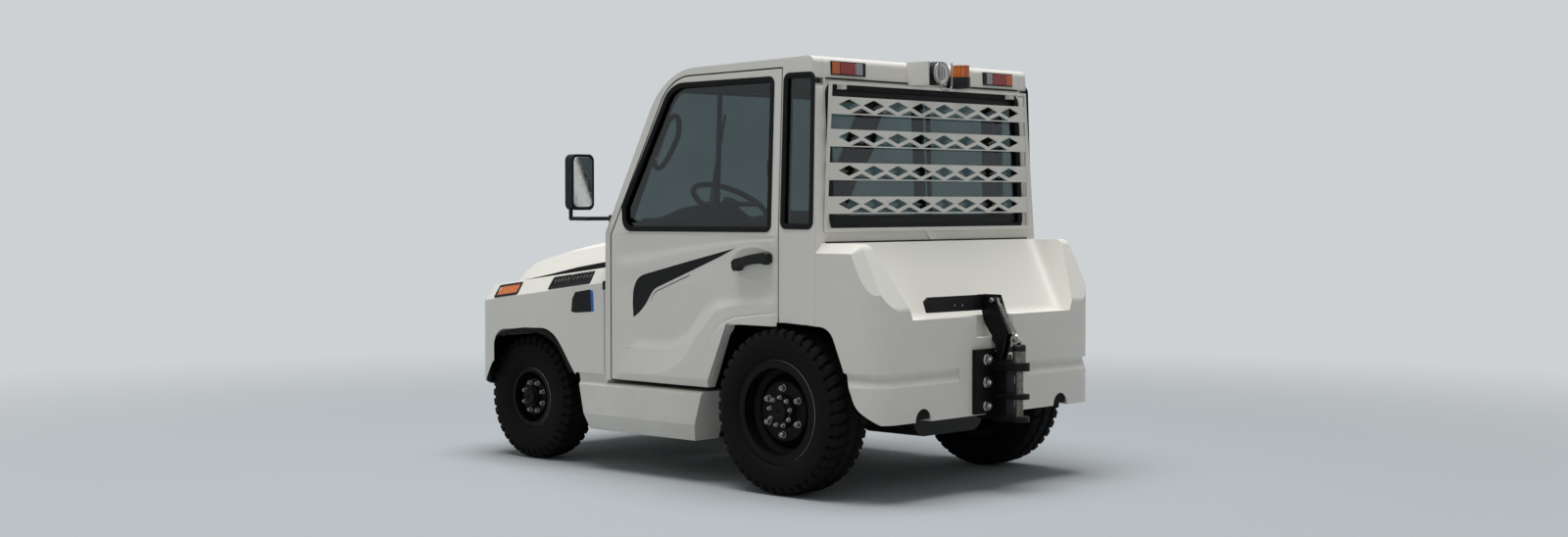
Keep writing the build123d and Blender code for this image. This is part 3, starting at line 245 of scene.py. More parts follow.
white = {"colour": "#E9E7DF", "rough": 0.42, "coat": 0.12, "gloss": 0.35, "cloudSize": 340, "dust": 0.32,
         "dustColour": "#A39B8F", "peelSize": 5, "peelDepth": 0.05, "edge": 3.5, "house": "#131313",
         # these places are in the frame: the body's side, the wheels' outer side, the cab's middle, the axles
         "side": 0.7475, "outer": 0.775, "middle": (0.0, 0.24, 1.2),
         "arches": [(-1.0375, 0.300, 0.440), (0.6675, 0.350, 0.395)]}
finishes = {
    "white": lacquer("white_lacquer", white),
    # the cab's lacquer darkens its inner faces, a painted shade
    "cabWhite": lacquer("white_lacquer_cab", dict(white, innerSide="#1D1E20", edge=6)),
    "chassis": lacquer("chassis_lacquer", {"colour": "#111213", "rough": 0.55, "coat": 0.0, "cloudSize": 90,
                                           "dust": 0.45, "dustColour": "#3A3733", "peelSize": 6,
                                           "peelDepth": 0.12, "gloss": 0.3, "edge": 4}),
    "rim": lacquer("rim_lacquer", {"colour": "#070708", "rough": 0.5, "coat": 0.0, "cloudSize": 70,
                                   "dust": 0.2, "dustColour": "#1D1C1A", "peelSize": 5, "peelDepth": 0.08,
                                   "gloss": 0.12, "edge": 3}),
    "hitch": lacquer("hitch_lacquer", {"colour": "#070708", "rough": 0.5, "coat": 0.0, "cloudSize": 50,
                                       "dust": 0.12, "dustColour": "#2B2722", "peelSize": 5,
                                       "peelDepth": 0.1, "gloss": 0.18, "edge": 2}),
    "liner": moulded("wheel_arch_liner", {"colour": "#141414", "worn": "#242322", "rough": 0.8,
                                          "grainSize": 4, "grainDepth": 0.2, "gloss": 0.15}),
    "plastic": moulded("black_plastic", {"colour": "#0A0B0C", "worn": "#141517", "rough": 0.45,
                                         "grainSize": 2.5, "grainDepth": 0.08}),
    "seal": moulded("rubber_seal", {"colour": "#070708", "worn": "#101010", "rough": 0.6, "grainSize": 2,
                                    "grainDepth": 0.05, "gloss": 0.2}),
    "mesh": moulded("black_mesh_panel", {"colour": "#050506", "worn": "#0B0B0C", "rough": 0.6,
                                         "grainSize": 5, "grainDepth": 1.2, "gloss": 0.25}),
    "tyre": moulded("tyre_rubber", {"colour": "#0B0B0C", "worn": "#191817", "rough": 0.8, "grainSize": 3,
                                    "grainDepth": 0.15, "cloudSize": 90, "gloss": 0.14}),
    "dash": moulded("dash_plastic", {"colour": "#101113", "worn": "#18191B", "rough": 0.62, "grainSize": 3,
                                     "grainDepth": 0.12, "gloss": 0.25}),
    "floor": moulded("floor_rubber", {"colour": "#0F0F10", "worn": "#1C1B1A", "rough": 0.8, "grainSize": 7,
                                      "grainDepth": 0.4, "gloss": 0.2}),
    "vinyl": moulded("black_film", {"colour": "#0C0C0D", "worn": "#121213", "rough": 0.4, "grainSize": 8,
                                    "grainDepth": 0.01, "gloss": 0.2}),
    "blueFilm": moulded("blue_film", {"colour": "#2A66B8", "worn": "#2F6DC0", "rough": 0.4, "grainSize": 8,
                                      "grainDepth": 0.01}),
    "zinc": plated("zinc_steel", {"colour": "#B4B4AF", "worn": "#7A7872", "rough": 0.36}),
    "bright": plated("bright_steel", {"colour": "#D5D5D2", "worn": "#9A9791", "rough": 0.24}),
    "pin": plated("oiled_steel", {"colour": "#86837C", "worn": "#4C4943", "rough": 0.46}),
    "mirror": plated("mirror_glass", {"colour": "#D9DDE0", "worn": "#CBD0D4", "rough": 0.1}),
    "amber": lens("amber_lens", {"colour": "#C2560F", "bright": "#EC7F22", "clear": 0.1, "ribs": "Y",
                                 "ribSize": 7}),
    "red": lens("red_lens", {"colour": "#7E1110", "bright": "#B5211B", "clear": 0.1, "ribs": "X",
                             "ribSize": 7}),
    "clear": lens("clear_lens", {"colour": "#8E9497", "bright": "#D9DCDD", "clear": 0.35, "ribs": "X",
                                 "ribSize": 9}),
    "glass": pane("safety_glass", {"colour": "#8B9A9B", "film": "#7C8B8C"}),
    "cloth": cloth("seat_cloth", {"threadSize": 3, "dark": "#101216", "light": "#22252D",
                                  "faded": "#2A2D35"}),
}
nodeFinish = {
    "white": ["work_lamp", "rear_body", "side_skirts", "fender_left", "fender_right", "nose_panel", "bonnet",
              "rear_guard"],
    "cabWhite": ["cab_side_left", "cab_side_right", "cab_roof", "cab_rear_wall", "cab_front_wall",
                 "door_left", "door_right"],
    "chassis": ["chassis_frame", "front_axle", "rear_axle", "power_unit", "knuckle_left", "knuckle_right"],
    "rim": ["front_rim_left", "front_rim_right", "rear_rim_left", "rear_rim_right"],
    "hitch": ["hitch_bracket", "hitch_lever"],
    "pin": ["hitch_pin"],
    "glass": ["cab_windows", "door_glass_left", "door_glass_right"],
    "plastic": ["mirrors", "steering_wheel"],
    "dash": ["dashboard"],
    "floor": ["cab_floor"],
    "amber": ["turn_lamps", "beacon"],
    "red": ["tail_lamps"],
    "clear": ["headlamps"],
    "cloth": ["seat_cushions", "seat_backs"],
    "tyre": ["front_tyre_left", "front_tyre_right", "rear_tyre_left", "rear_tyre_right"],
}
for finish, names in nodeFinish.items():
    for name in names:
        mesh = nodes[name].data
        mesh.materials.clear()
        mesh.materials.append(finishes[finish])
print("materials set")


# Mesh helpers. A shape is a pair: an (n, 3) array of points and a list of faces
def gridShape(points, loopU=False, loopV=False, flip=False):  # quads between neighbours of a (u, v, 3) grid
    rows, columns = points.shape[:2]
    index = np.arange(rows * columns).reshape(rows, columns)
    if loopU:
        index = np.vstack([index, index[:1]])
    if loopV:
        index = np.hstack([index, index[:, :1]])
    quads = np.stack([index[:-1, :-1], index[1:, :-1], index[1:, 1:], index[:-1, 1:]], -1).reshape(-1, 4)
    return points.reshape(-1, 3), (quads[:, ::-1] if flip else quads).tolist()


def joined(*shapes):  # several shapes as one: each one's faces count on from the points before it
    points, faces, start = [], [], 0
    for spots, sides in shapes:
        points.append(np.asarray(spots, float))
        faces += [[i + start for i in side] for side in sides]
        start += len(spots)
    return np.vstack(points), faces


def mirrored(shape):  # x becomes -x and each face is read backwards
    return shape[0] * [-1, 1, 1], [side[::-1] for side in shape[1]]


def boxShape(low, high):  # a box between its lowest and highest corner
    (a, b, c), (d, e, f) = low, high
    spots = np.array([[a, b, c], [d, b, c], [d, e, c], [a, e, c], [a, b, f], [d, b, f], [d, e, f], [a, e, f]])
    return spots, [[0, 3, 2, 1], [4, 5, 6, 7], [0, 1, 5, 4], [1, 2, 6, 5], [2, 3, 7, 6], [3, 0, 4, 7]]


def prismShape(outline, start, end):  # the outline's points at start, and the same points moved to end
    outline = np.asarray(outline, float)
    count = len(outline)
    spots = np.vstack([outline + start, outline + end])
    sides = [[i, (i + 1) % count, (i + 1) % count + count, i + count] for i in range(count)]
    return spots, sides + [list(range(count))[::-1], list(range(count, 2 * count))]


def turnedShape(profile, centre, axis="x", segments=48, closed=False):
    # each (along, radius) point of the profile turns about the axis: along * axis + radius * (cos t, sin t)
    profile = np.asarray(profile, float)
    angle = np.linspace(0, 2 * np.pi, segments, endpoint=False)[:, None]
    along = np.broadcast_to(profile[:, 0], (segments, len(profile)))
    first, second = profile[:, 1] * np.cos(angle), profile[:, 1] * np.sin(angle)
    order = {"x": (along, first, second), "y": (second, along, first), "z": (first, second, along)}[axis]
    return gridShape(np.stack(order, -1) + np.asarray(centre, float), True, closed)


def roundedLine(points, radii, steps=6, closed=True):
    # each corner becomes an arc that touches both its runs at radius / tan(half the angle) from the corner
    points = [np.asarray(p, float) for p in points]
    line = []
    for i, (spot, radius) in enumerate(zip(points, radii)):
        if radius <= 0 or (not closed and i in (0, len(points) - 1)):
            line.append(spot)
            continue
        before, after = points[i - 1] - spot, points[(i + 1) % len(points)] - spot
        before, after = before / np.linalg.norm(before), after / np.linalg.norm(after)
        half = math.acos(np.clip(before @ after, -1, 1)) / 2
        inward = (before + after) / np.linalg.norm(before + after)
        centre = spot + inward * radius / math.sin(half)
        first, last = spot + before * radius / math.tan(half), spot + after * radius / math.tan(half)
        share = np.linspace(0, 1, steps + 1)[:, None]
        way = (first - centre) * (1 - share) + (last - centre) * share
        line.extend(centre + way / np.linalg.norm(way, axis=1)[:, None] * radius)
    return np.array(line)


def tubeShape(path, radius, sides=10, closed=False):
    # a circle carried along the path: centre + radius * (cos t * side + sin t * up), ends capped
    path = np.asarray(path, float)
    step = np.roll(path, -1, 0) - np.roll(path, 1, 0)
    if not closed:
        step[0], step[-1] = path[1] - path[0], path[-1] - path[-2]
    step /= np.linalg.norm(step, axis=1)[:, None]
    guide = np.array([0.13, 0.21, 0.97])
    side = np.cross(step, guide)
    side /= np.linalg.norm(side, axis=1)[:, None]
    up = np.cross(side, step)
    angle = np.linspace(0, 2 * np.pi, sides, endpoint=False)[None, :, None]
    ring = path[:, None] + radius * (np.cos(angle) * side[:, None] + np.sin(angle) * up[:, None])
    spots, faces = gridShape(ring, closed, True)
    if not closed:
        faces += [list(range(sides)), list(range(len(spots) - sides, len(spots)))[::-1]]
    return spots, faces


def bandShape(outline, profile, place):
    # profile (out, deep) carried round a closed (y, z) outline: out is along the outline's own normal
    step = np.roll(outline, -1, 0) - np.roll(outline, 1, 0)
    step /= np.linalg.norm(step, axis=1)[:, None]
    normal = np.stack([step[:, 1], -step[:, 0]], 1)
    area = np.sum(outline[:, 0] * np.roll(outline[:, 1], -1) - np.roll(outline[:, 0], -1) * outline[:, 1])
    normal = normal if area > 0 else -normal
    flat = outline[:, None] + normal[:, None] * np.asarray(profile)[None, :, :1]
    depth = np.broadcast_to(np.asarray(profile)[None, :, 1], flat.shape[:2])
    return gridShape(place(flat, depth), True, True, flip=area > 0)


def eased(share):  # 0 to 1 with level ends: 3 s^2 - 2 s^3
    share = np.clip(share, 0, 1)
    return share * share * (3 - 2 * share)


def lineDistance(points, line):  # the shortest distance from each point to a run of straight pieces
    points, line = np.asarray(points, float), np.asarray(line, float)
    best = np.full(points.shape[:-1], 9.0)
    for start, end in zip(line[:-1], line[1:]):
        along = end - start
        share = np.clip(((points - start) @ along) / (along @ along), 0, 1)
        best = np.minimum(best, np.linalg.norm(points - start - share[..., None] * along, axis=-1))
    return best


def evenLine(line, count, soften=0):  # count points at even steps along a line, then averaged with neighbours
    line = np.asarray(line, float)
    length = np.concatenate([[0], np.cumsum(np.linalg.norm(np.diff(line, axis=0), axis=1))])
    spots = np.linspace(0, length[-1], count)
    even = np.stack([np.interp(spots, length, line[:, i]) for i in range(line.shape[1])], 1)
    for _ in range(soften):
        even[1:-1] = (even[:-2] + even[1:-1] * 2 + even[2:]) / 4
    return even


def skinShape(points, drop):  # a (u, v, 3) sheet whose border turns down by the (x, y, z) drop
    grown = np.pad(points, ((1, 1), (1, 1), (0, 0)), mode="edge")
    grown[[0, -1]] -= drop
    grown[1:-1, [0, -1]] -= drop
    return gridShape(grown)


def addPiece(name, shape, body, finish, bevel=0.0, angle=35, replace=(), segments=2):
    # one object from a shape, moved to the frame's origin, with its finish, slot and body
    spots, faces = shape
    mesh = bpy.data.meshes.new(name)
    mesh.from_pydata((np.asarray(spots) + [0, rearAxle, 0]).tolist(), [], faces)
    mesh.validate()
    mesh.polygons.foreach_set("use_smooth", [True] * len(mesh.polygons))
    mesh.set_sharp_from_angle(angle=math.radians(angle))
    mesh.materials.append(finishes[finish])
    piece = bpy.data.objects.new(name, mesh)
    bpy.context.collection.objects.link(piece)
    if bevel:
        edge = piece.modifiers.new("edge", "BEVEL")
        edge.width = bevel
        edge.segments = segments
        edge.limit_method = "ANGLE"
        edge.angle_limit = math.radians(40)
    if replace:
        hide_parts(*replace)
    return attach(piece, body)


def addBoth(name, shape, bodies, finish, **more):  # the left piece and its mirror image on the right
    replace = more.pop("replace", None)
    for side, body, one in (("left", bodies[0], shape), ("right", bodies[1], mirrored(shape))):
        replaced = [f"{replace}_{side}"] if replace else []
        addPiece(f"{name}_{side}", one, body, finish, replace=replaced, **more)


# The cab's side: upright to the waist, then leaning in
cabin = {"half": 0.750, "waist": 1.085, "lean": 0.0362}


def sideX(z):  # x = half - lean * (z - waist) above the waist
    return cabin["half"] - np.maximum(np.asarray(z) - cabin["waist"], 0) * cabin["lean"]


def onSide(flat, depth):  # a (y, z) point goes to the cab's left side, depth outwards
    return np.stack([sideX(flat[..., 1]) + depth, flat[..., 0], flat[..., 1]], -1)


# Tyres: a carcass and two rows of staggered shoulder blocks with grooves between
tyres = {
    "rear": {"x": 0.675, "y": 0.0, "radius": 0.350, "width": 0.216, "bead": 0.1915, "flange": 0.219,
             "rim": 0.087, "blocks": 42},
    "front": {"x": 0.600, "y": -1.705, "radius": 0.294, "width": 0.178, "bead": 0.1275, "flange": 0.140,
              "rim": 0.068, "blocks": 38},
}
# the tread's pattern, as shares of a block's length and of the tyre's half width
tread = {"depth": 0.0125, "slot": (0.17, 0.06), "start": (0.12, 0.08), "sweep": 0.7, "zigzag": (0.30, 0.05),
         "line": (0.05, 0.02), "shoulder": (0.84, 0.10), "inset": 0.0002}


def tyreShape(size):
    # the section: from the bead up the wall, whose x swells as a sine to the power 0.6, to the crowned tread
    half, radius, flange = size["width"] / 2, size["radius"], size["flange"]
    wall = radius - flange
    rise = np.linspace(0, 1, 26)
    wallX = size["rim"] + (half - size["rim"]) * np.sin(np.pi * np.clip(rise / 0.9, 0, 1)) ** 0.6
    wallX = np.where(rise > 0.45, half - (half * 0.16) * np.clip((rise - 0.55) / 0.45, 0, 1) ** 2.2, wallX)
    wallR = flange + wall * rise * 0.95
    ribs = 0.0022 * (np.abs(rise - 0.16) < 0.03) + 0.0018 * (np.abs(rise - 0.42) < 0.02)
    wallX = wallX + ribs
    acrossX = np.linspace(wallX[-1], -wallX[-1], 25)[1:-1]
    crownR = radius - wall * 0.05 * np.abs(acrossX / wallX[-1]) ** 4
    xs = np.concatenate([[size["rim"]], wallX, acrossX, -wallX[::-1], [-size["rim"]]])
    rs = np.concatenate([[size["bead"]], wallR, crownR, wallR[::-1], [size["bead"]]])
    xs = np.clip(xs, -half, half)
    turns = size["blocks"] * 10
    angle = np.linspace(0, 2 * np.pi, turns, endpoint=False)[:, None]
    # grooves: a slot runs in from each shoulder, swept with x, and two zigzag grooves run round
    share = xs[None, :] / half
    out = np.abs(share)
    phase = (size["blocks"] * angle / (2 * np.pi) + out * tread["sweep"] + 0.5 * (share > 0)) % 1
    middle = np.abs(phase - 0.5)
    slot = np.clip((tread["slot"][0] - middle) / tread["slot"][1], 0, 1)
    slot = slot * np.clip((out - tread["start"][0]) / tread["start"][1], 0, 1)
    away = np.abs(out - tread["zigzag"][0] - tread["zigzag"][1] * middle)
    zigzag = np.clip((tread["line"][0] - away) / tread["line"][1], 0, 1)
    onTread = np.clip((rs - (flange + wall * 0.72)) / (wall * 0.06), 0, 1)[None, :]
    depth = np.maximum(slot, zigzag) * onTread * tread["depth"]
    shoulder = np.clip((out - tread["shoulder"][0]) / tread["shoulder"][1], 0, 1)
    inward = shoulder * depth
    rs = rs - tread["inset"]  # stays inside the CAD tyre's own radius
    radii = rs[None, :] - depth * (1 - 0.5 * shoulder)
    x = xs[None, :] - np.sign(xs)[None, :] * inward
    points = np.stack([size["x"] + x + 0 * angle, size["y"] + radii * np.cos(angle),
                       radius + radii * np.sin(angle)], -1)
    return gridShape(points, True, True)


for axle, size in tyres.items():
    addBoth(f"{axle}_tyre_tread", tyreShape(size), (f"wheel_{axle}_left", f"wheel_{axle}_right"), "tyre",
            replace=f"{axle}_tyre", angle=28)
print("tyres made")


# Wheel nuts and hub caps
def nutShape(centre, across, height, turn=0.0):  # a hexagon on its washer, with the stud's end standing out
    corner = across / 2 / math.cos(math.pi / 6)
    angle = np.linspace(0, 2 * np.pi, 6, endpoint=False) + turn
    outline = np.stack([0 * angle, corner * np.cos(angle), corner * np.sin(angle)], 1)
    centre = np.asarray(centre, float)
    washer = turnedShape([(0, 0.001), (0, across * 0.72), (0.003, across * 0.72), (0.003, 0.001)], centre,
                         segments=20)
    nut = prismShape(outline, centre + [0.003, 0, 0], centre + [0.003 + height, 0, 0])
    stud = turnedShape([(0, 0.001), (0, across * 0.27), (height * 1.55, across * 0.27),
                        (height * 1.7, across * 0.2), (height * 1.7, 0.001)], centre, segments=14)
    return joined(washer, nut, stud)


# a ring of nuts: how many, its radius, the x of its face, nut size across flats, nut height, first angle
wheels = {
    "rear": {"hub": (0.0, 0.350), "cap": (0.744, 0.040, 0.010),
             "rings": [(6, 0.098, 0.722, 0.021, 0.016, 90), (9, 0.060, 0.744, 0.013, 0.010, 10)]},
    "front": {"hub": (-1.705, 0.294), "rings": [(8, 0.070, 0.655, 0.016, 0.013, 22)],
              "cap": (0.677, 0.038, 0.014)},
}
for axle, size in wheels.items():
    y, z = size["hub"]
    shapes = []
    for count, radius, face, across, height, start in size["rings"]:
        for i in range(count):
            angle = math.radians(start + 360 / count * i)
            shapes.append(nutShape((face, y + radius * math.cos(angle), z + radius * math.sin(angle)), across,
                                   height, angle))
    bodies = (f"wheel_{axle}_left", f"wheel_{axle}_right")
    addBoth(f"{axle}_wheel_nuts", joined(*shapes), bodies, "zinc", bevel=0.0012, angle=30)
    face, radius, height = size["cap"]
    addBoth(f"{axle}_hub_cap", turnedShape([
        (face - 0.004, 0.001), (face - 0.004, radius), (face + height * 0.6, radius * 0.96),
        (face + height, radius * 0.8), (face + height, radius * 0.3), (face + height * 0.7, radius * 0.25),
        (face + height * 0.7, 0.001)], (0, y, z)), bodies, "rim", angle=30)
print("wheel nuts made")


# Window seals: a lip on the outside, and a lining over the cut edge
openings = {
    "door": {"corners": [(-0.968, 1.200), (-0.676, 1.735), (-0.058, 1.741), (-0.058, 1.108), (-0.958, 1.103)],
             "radii": [0.0, 0.13, 0.022, 0.022, 0.05], "innerSide": 0.043},
    "quarter": {"corners": [(0.014, 1.122), (0.014, 1.751), (0.172, 1.751), (0.180, 1.122)],
                "radii": [0.022, 0.022, 0.022, 0.022], "innerSide": 0.039},
}


def sealShape(opening):  # the lip and lining's profile carried round the opening's outline
    outline = roundedLine(opening["corners"], [max(r, 0.004) for r in opening["radii"]], 8)
    innerSide = opening["innerSide"]
    profile = [(0.010, 0.0003), (0.009, 0.003), (-0.008, 0.0035), (-0.014, 0.001), (-0.014, -0.006),
               (-0.004, -0.007), (-0.004, -innerSide), (-0.0003, -innerSide), (-0.0003, -0.001), (0.004, 0.0003)]
    return bandShape(outline, profile, onSide)


addBoth("door_window_seal", sealShape(openings["door"]), ("door_left", "door_right"), "seal")
addBoth("quarter_window_seal", sealShape(openings["quarter"]), ("tractor", "tractor"), "seal")
bars = {"divider": (-0.395, 1.112, 1.728, 0.011), "latch": (-0.075, 1.335, 1.400, 0.026)}
barDepths = (-0.034, -0.021)  # from the door's outer face, inwards
for name, (y, low, high, wide) in bars.items():
    spots = np.array([(y - wide, low), (y + wide, low), (y + wide, high), (y - wide, high)])
    flat = np.stack([sideX(spots[:, 1]), spots[:, 0], spots[:, 1]], 1)
    piece = prismShape(flat, [barDepths[0], 0, 0], [barDepths[1], 0, 0])
    addBoth(f"door_window_{name}", piece, ("door_left", "door_right"), "seal", bevel=0.003)
pull = {"line": [(-0.845, 1.43), (-0.760, 1.60), (-0.700, 1.62), (-0.690, 1.52), (-0.790, 1.38),
                 (-0.845, 1.36), (-0.850, 1.41)], "inside": 0.075, "radius": 0.012}
loop = evenLine(pull["line"], 40, 8)
loopLine = np.column_stack([sideX(loop[:, 1]) - pull["inside"], loop[:, 0], loop[:, 1]])
addBoth("door_pull_loop", tubeShape(loopLine, pull["radius"], 10), ("door_left", "door_right"), "plastic")
print("seals made")


# Door: one pressed skin with a flared lower part, a lip round the wheel and a soft shelf under the window
door = {
    "front": -1.041, "rear": -0.012, "bottom": 0.429, "sill": 0.706, "top": 1.082, "step": 0.0045,
    "recess": 0.0078, "flare": 0.0095, "lip": 0.0030, "shelf": 0.0050, "base": 0.0004,
    "crease": [(-1.045, 0.573), (-0.664, 0.573), (-0.558, 0.622), (-0.500, 0.690), (-0.440, 0.760),
               (-0.3645, 0.801), (-0.068, 0.840), (0.0, 0.845)],
    "flareLine": [(-1.045, 0.452), (-0.876, 0.457), (-0.735, 0.468), (-0.653, 0.490), (-0.591, 0.523),
                  (-0.548, 0.560), (-0.523, 0.600), (-0.498, 0.631), (-0.462, 0.666), (-0.426, 0.702),
                  (-0.3645, 0.762), (-0.247, 0.786), (0.0, 0.802)],
    "lipLine": [(-0.430, 0.500), (-0.414, 0.609), (-0.396, 0.648), (-0.348, 0.697), (-0.306, 0.717),
                (-0.259, 0.734), (-0.143, 0.749), (-0.010, 0.761)],
    "valley": [(-1.045, 0.990), (-0.939, 0.997), (-0.810, 1.008), (-0.559, 1.036), (-0.318, 1.058),
               (-0.143, 1.070), (0.0, 1.074)],
    "shoulder": [(-1.045, 0.930), (-0.939, 0.936), (-0.810, 0.956), (-0.559, 1.004), (-0.318, 1.037),
                 (-0.143, 1.055), (0.0, 1.062)],
    "cup": (-0.150, 0.966, 0.130, 0.068), "cupHigh": 0.0016, "cupWide": 0.13,
    "recessTop": 0.865, "recessHigh": 0.293, "recessFront": -0.935, "recessRear": -0.075, "recessSoft": 0.05,
    "stepSlope": 0.19, "stepSoft": 6e-6, "lipStart": -0.43, "lipSoft": 0.007, "grooveDeep": 0.002,
    "grooveWide": 0.003, "shelfHigh": 0.061, "shelfSoft": 0.085, "frontSoft": 0.11, "endSoft": 0.03,
}


def heightOn(name, y):  # the named line's z over y
    line = np.array(door[name])
    return np.interp(y, line[:, 0], line[:, 1])


def doorRelief(y, z):
    # above the crease a recess that deepens downwards meets a steep step by a soft maximum; below it a ramp
    # to the flare; over both the arch's lip and the shelf, each an eased step beside its own line
    crease, flare = heightOn("crease", y), heightOn("flareLine", y)
    recess = -door["recess"] * np.clip((door["recessTop"] - z) / door["recessHigh"], 0, 1)
    recess = recess * eased((y - door["recessFront"]) / door["recessSoft"])
    recess = recess * eased((door["recessRear"] - y) / door["recessSoft"])
    step = door["base"] - door["stepSlope"] * (z - crease)
    above = (recess + step + np.sqrt((recess - step) ** 2 + door["stepSoft"])) / 2
    ramp = np.clip((crease - z) / (crease - flare), 0, 1)
    upper = np.maximum(above, recess + door["base"])
    relief = np.where(z > crease, upper, door["base"] + door["flare"] * ramp)
    onLip = y > door["lipStart"]
    lipZ = np.where(onLip, heightOn("lipLine", y), 0)
    groove = lineDistance(np.stack([y, z], -1), door["lipLine"])
    relief = relief + door["lip"] * eased((lipZ - z) / door["lipSoft"]) * onLip
    relief = relief - door["grooveDeep"] * np.exp(-(groove / door["grooveWide"]) ** 2)
    valley, shoulder = heightOn("valley", y), heightOn("shoulder", y)
    size = np.clip((valley - shoulder) / door["shelfHigh"], 0.35, 1) * door["shelf"]
    over = np.clip((z - valley) / (door["top"] - valley), 0, 1) ** 1.3
    under = eased((valley - z) / (valley - shoulder)) * (1 - eased((shoulder - z) / door["shelfSoft"]))
    relief = relief + size * (over + under)
    cupY, cupZ, halfY, halfZ = door["cup"]
    ring = np.hypot((y - cupY) / halfY, (z - cupZ) / halfZ)
    relief = relief + door["cupHigh"] * np.exp(-((ring - 1) / door["cupWide"]) ** 2)
    ends = eased((y - door["front"]) / door["frontSoft"]) * eased((door["rear"] - y) / door["endSoft"])
    edge = ends * eased((z - door["bottom"]) / door["endSoft"])
    return np.where(relief > 0, door["base"] + (relief - door["base"]) * edge, relief)


def doorSkinShape():  # x = half + relief(y, z), its lower edge rising from bottom to sill ahead of the wheel
    columns = np.arange(door["front"], door["rear"] + 0.001, door["step"])
    low = np.interp(columns, [-0.424, -0.300], [door["bottom"], door["sill"]])
    rows = np.linspace(0, 1, int((door["top"] - door["bottom"]) / door["step"]))
    y = np.repeat(columns[:, None], len(rows), 1)
    z = low[:, None] + (door["top"] - low[:, None]) * rows
    return skinShape(np.stack([cabin["half"] + doorRelief(y, z), y, z], -1), [0.0008, 0, 0])


def filmShape(upper, lower, rows=14, count=110, lift=0.0006):
    # a film ruled between two lines of the drawing and laid on the door's relief
    upper, lower = evenLine(upper, count, 5), evenLine(lower, count, 5)
    share = np.linspace(0, 1, rows)[None, :, None]
    flat = lower[:, None] * (1 - share) + upper[:, None] * share
    y, z = flat[..., 0], flat[..., 1]
    return skinShape(np.stack([cabin["half"] + doorRelief(y, z) + lift, y, z], -1), [0.0007, 0, 0])


sweep = {
    "upper": [(-0.901, 0.711), (-0.904, 0.778), (-0.900, 0.827), (-0.887, 0.862), (-0.868, 0.885),
              (-0.836, 0.901), (-0.559, 0.963), (-0.259, 1.028)],
    "lower": [(-0.901, 0.711), (-0.868, 0.729), (-0.836, 0.755), (-0.810, 0.782), (-0.785, 0.817),
              (-0.759, 0.842), (-0.559, 0.914), (-0.347, 0.991), (-0.259, 1.028)],
    "line": [(-0.541, 0.917), (-0.652, 0.877), (-0.753, 0.841), (-0.775, 0.824), (-0.787, 0.796)],
}
doors = ("door_left", "door_right")
addBoth("door_skin", doorSkinShape(), doors, "white", angle=60)
addBoth("door_sweep_film", filmShape(sweep["upper"], sweep["lower"]), doors, "vinyl", angle=60)
thin = np.array(sweep["line"])[::-1] + [0.004, -0.012]
addBoth("door_line_film", filmShape(thin + [0, 0.0035], thin, rows=3), doors, "vinyl", angle=60)

handle = {
    "bow": [(-0.246, 0.945), (-0.250, 0.972), (-0.235, 0.984), (-0.140, 1.004), (-0.056, 1.016),
            (-0.036, 1.008), (-0.034, 0.975), (-0.052, 0.962), (-0.085, 0.968), (-0.150, 0.962),
            (-0.195, 0.952), (-0.212, 0.934), (-0.236, 0.932)],
    "foot": 0.752, "face": 0.7885,
}
bow = roundedLine(handle["bow"], [0.008] * len(handle["bow"]), 4)
bowSpots = np.stack([0 * bow[:, 0], bow[:, 0], bow[:, 1]], 1)[::-1]
addBoth("door_handle", prismShape(bowSpots, [handle["foot"], 0, 0], [handle["face"], 0, 0]), doors, "plastic",
        bevel=0.006, segments=3)
print("doors made")


def slabShape(outline, axis, start, end, lean=0.0):
    # a flat outline in the two other axes, carried along the axis from start to end; lean moves the end in y
    outline = np.asarray(outline, float)
    turn = np.sum(outline[:, 0] * np.roll(outline[:, 1], -1) - np.roll(outline[:, 0], -1) * outline[:, 1])
    outline = outline[::-1] if (turn < 0) != (axis == "y") else outline
    flat = np.insert(outline, "xyz".index(axis), 0, 1)
    along = np.eye(3)["xyz".index(axis)]
    return prismShape(flat, along * start, along * end + [0, lean, 0])


def facingBack(shape):  # a shape made along x is turned to stand along y: (x, y, z) to (-y, x, z)
    spots = shape[0]
    return np.stack([-spots[:, 1], spots[:, 0], spots[:, 2]], 1), shape[1]


def rounded(low, high, radius, steps=5):  # a rectangle with round corners
    (a, b), (c, d) = low, high
    return roundedLine([(a, b), (c, b), (c, d), (a, d)], [radius] * 4, steps)


# Windows at the back and front: gaskets, printed bands, the rear window's post
backWindow = {"half": 0.640, "low": 1.120, "high": 1.700, "wall": 0.2012, "lean": 0.0483,
              "gasket": [(0.020, 0.0003), (0.019, 0.0045), (0.002, 0.006), (-0.010, 0.003), (-0.010, -0.009),
                         (-0.0005, -0.009), (-0.0005, 0.0003)]}
frontWindow = {
    "half": 0.640, "low": 1.125, "high": 1.720,
    "z": [1.000, 1.125, 1.629, 1.646, 1.662, 1.678, 1.693, 1.707, 1.720, 1.760],
    "y": [-1.1167, -1.053, -0.796, -0.787, -0.777, -0.766, -0.753, -0.740, -0.726, -0.679],
    "turn": [27, 27, 27, 30, 33, 36, 39, 42, 45, 50],
}


def onBack(flat, depth):  # (-x, z) lies on the rear wall's outer face, depth is out of it
    wall = backWindow["wall"] - (flat[..., 1] - 1.12) * backWindow["lean"]
    return np.stack([-flat[..., 0], wall + depth, flat[..., 1]], -1)


def onFront(flat, depth):  # (x, z) lies on the windscreen wall's outer face, 10 mm out from the pane's line
    turn = np.radians(np.interp(flat[..., 1], frontWindow["z"], frontWindow["turn"]))
    y = np.interp(flat[..., 1], frontWindow["z"], frontWindow["y"])
    reach = 0.010 + depth
    return np.stack([flat[..., 0], y - reach * np.cos(turn), flat[..., 1] + reach * np.sin(turn)], -1)


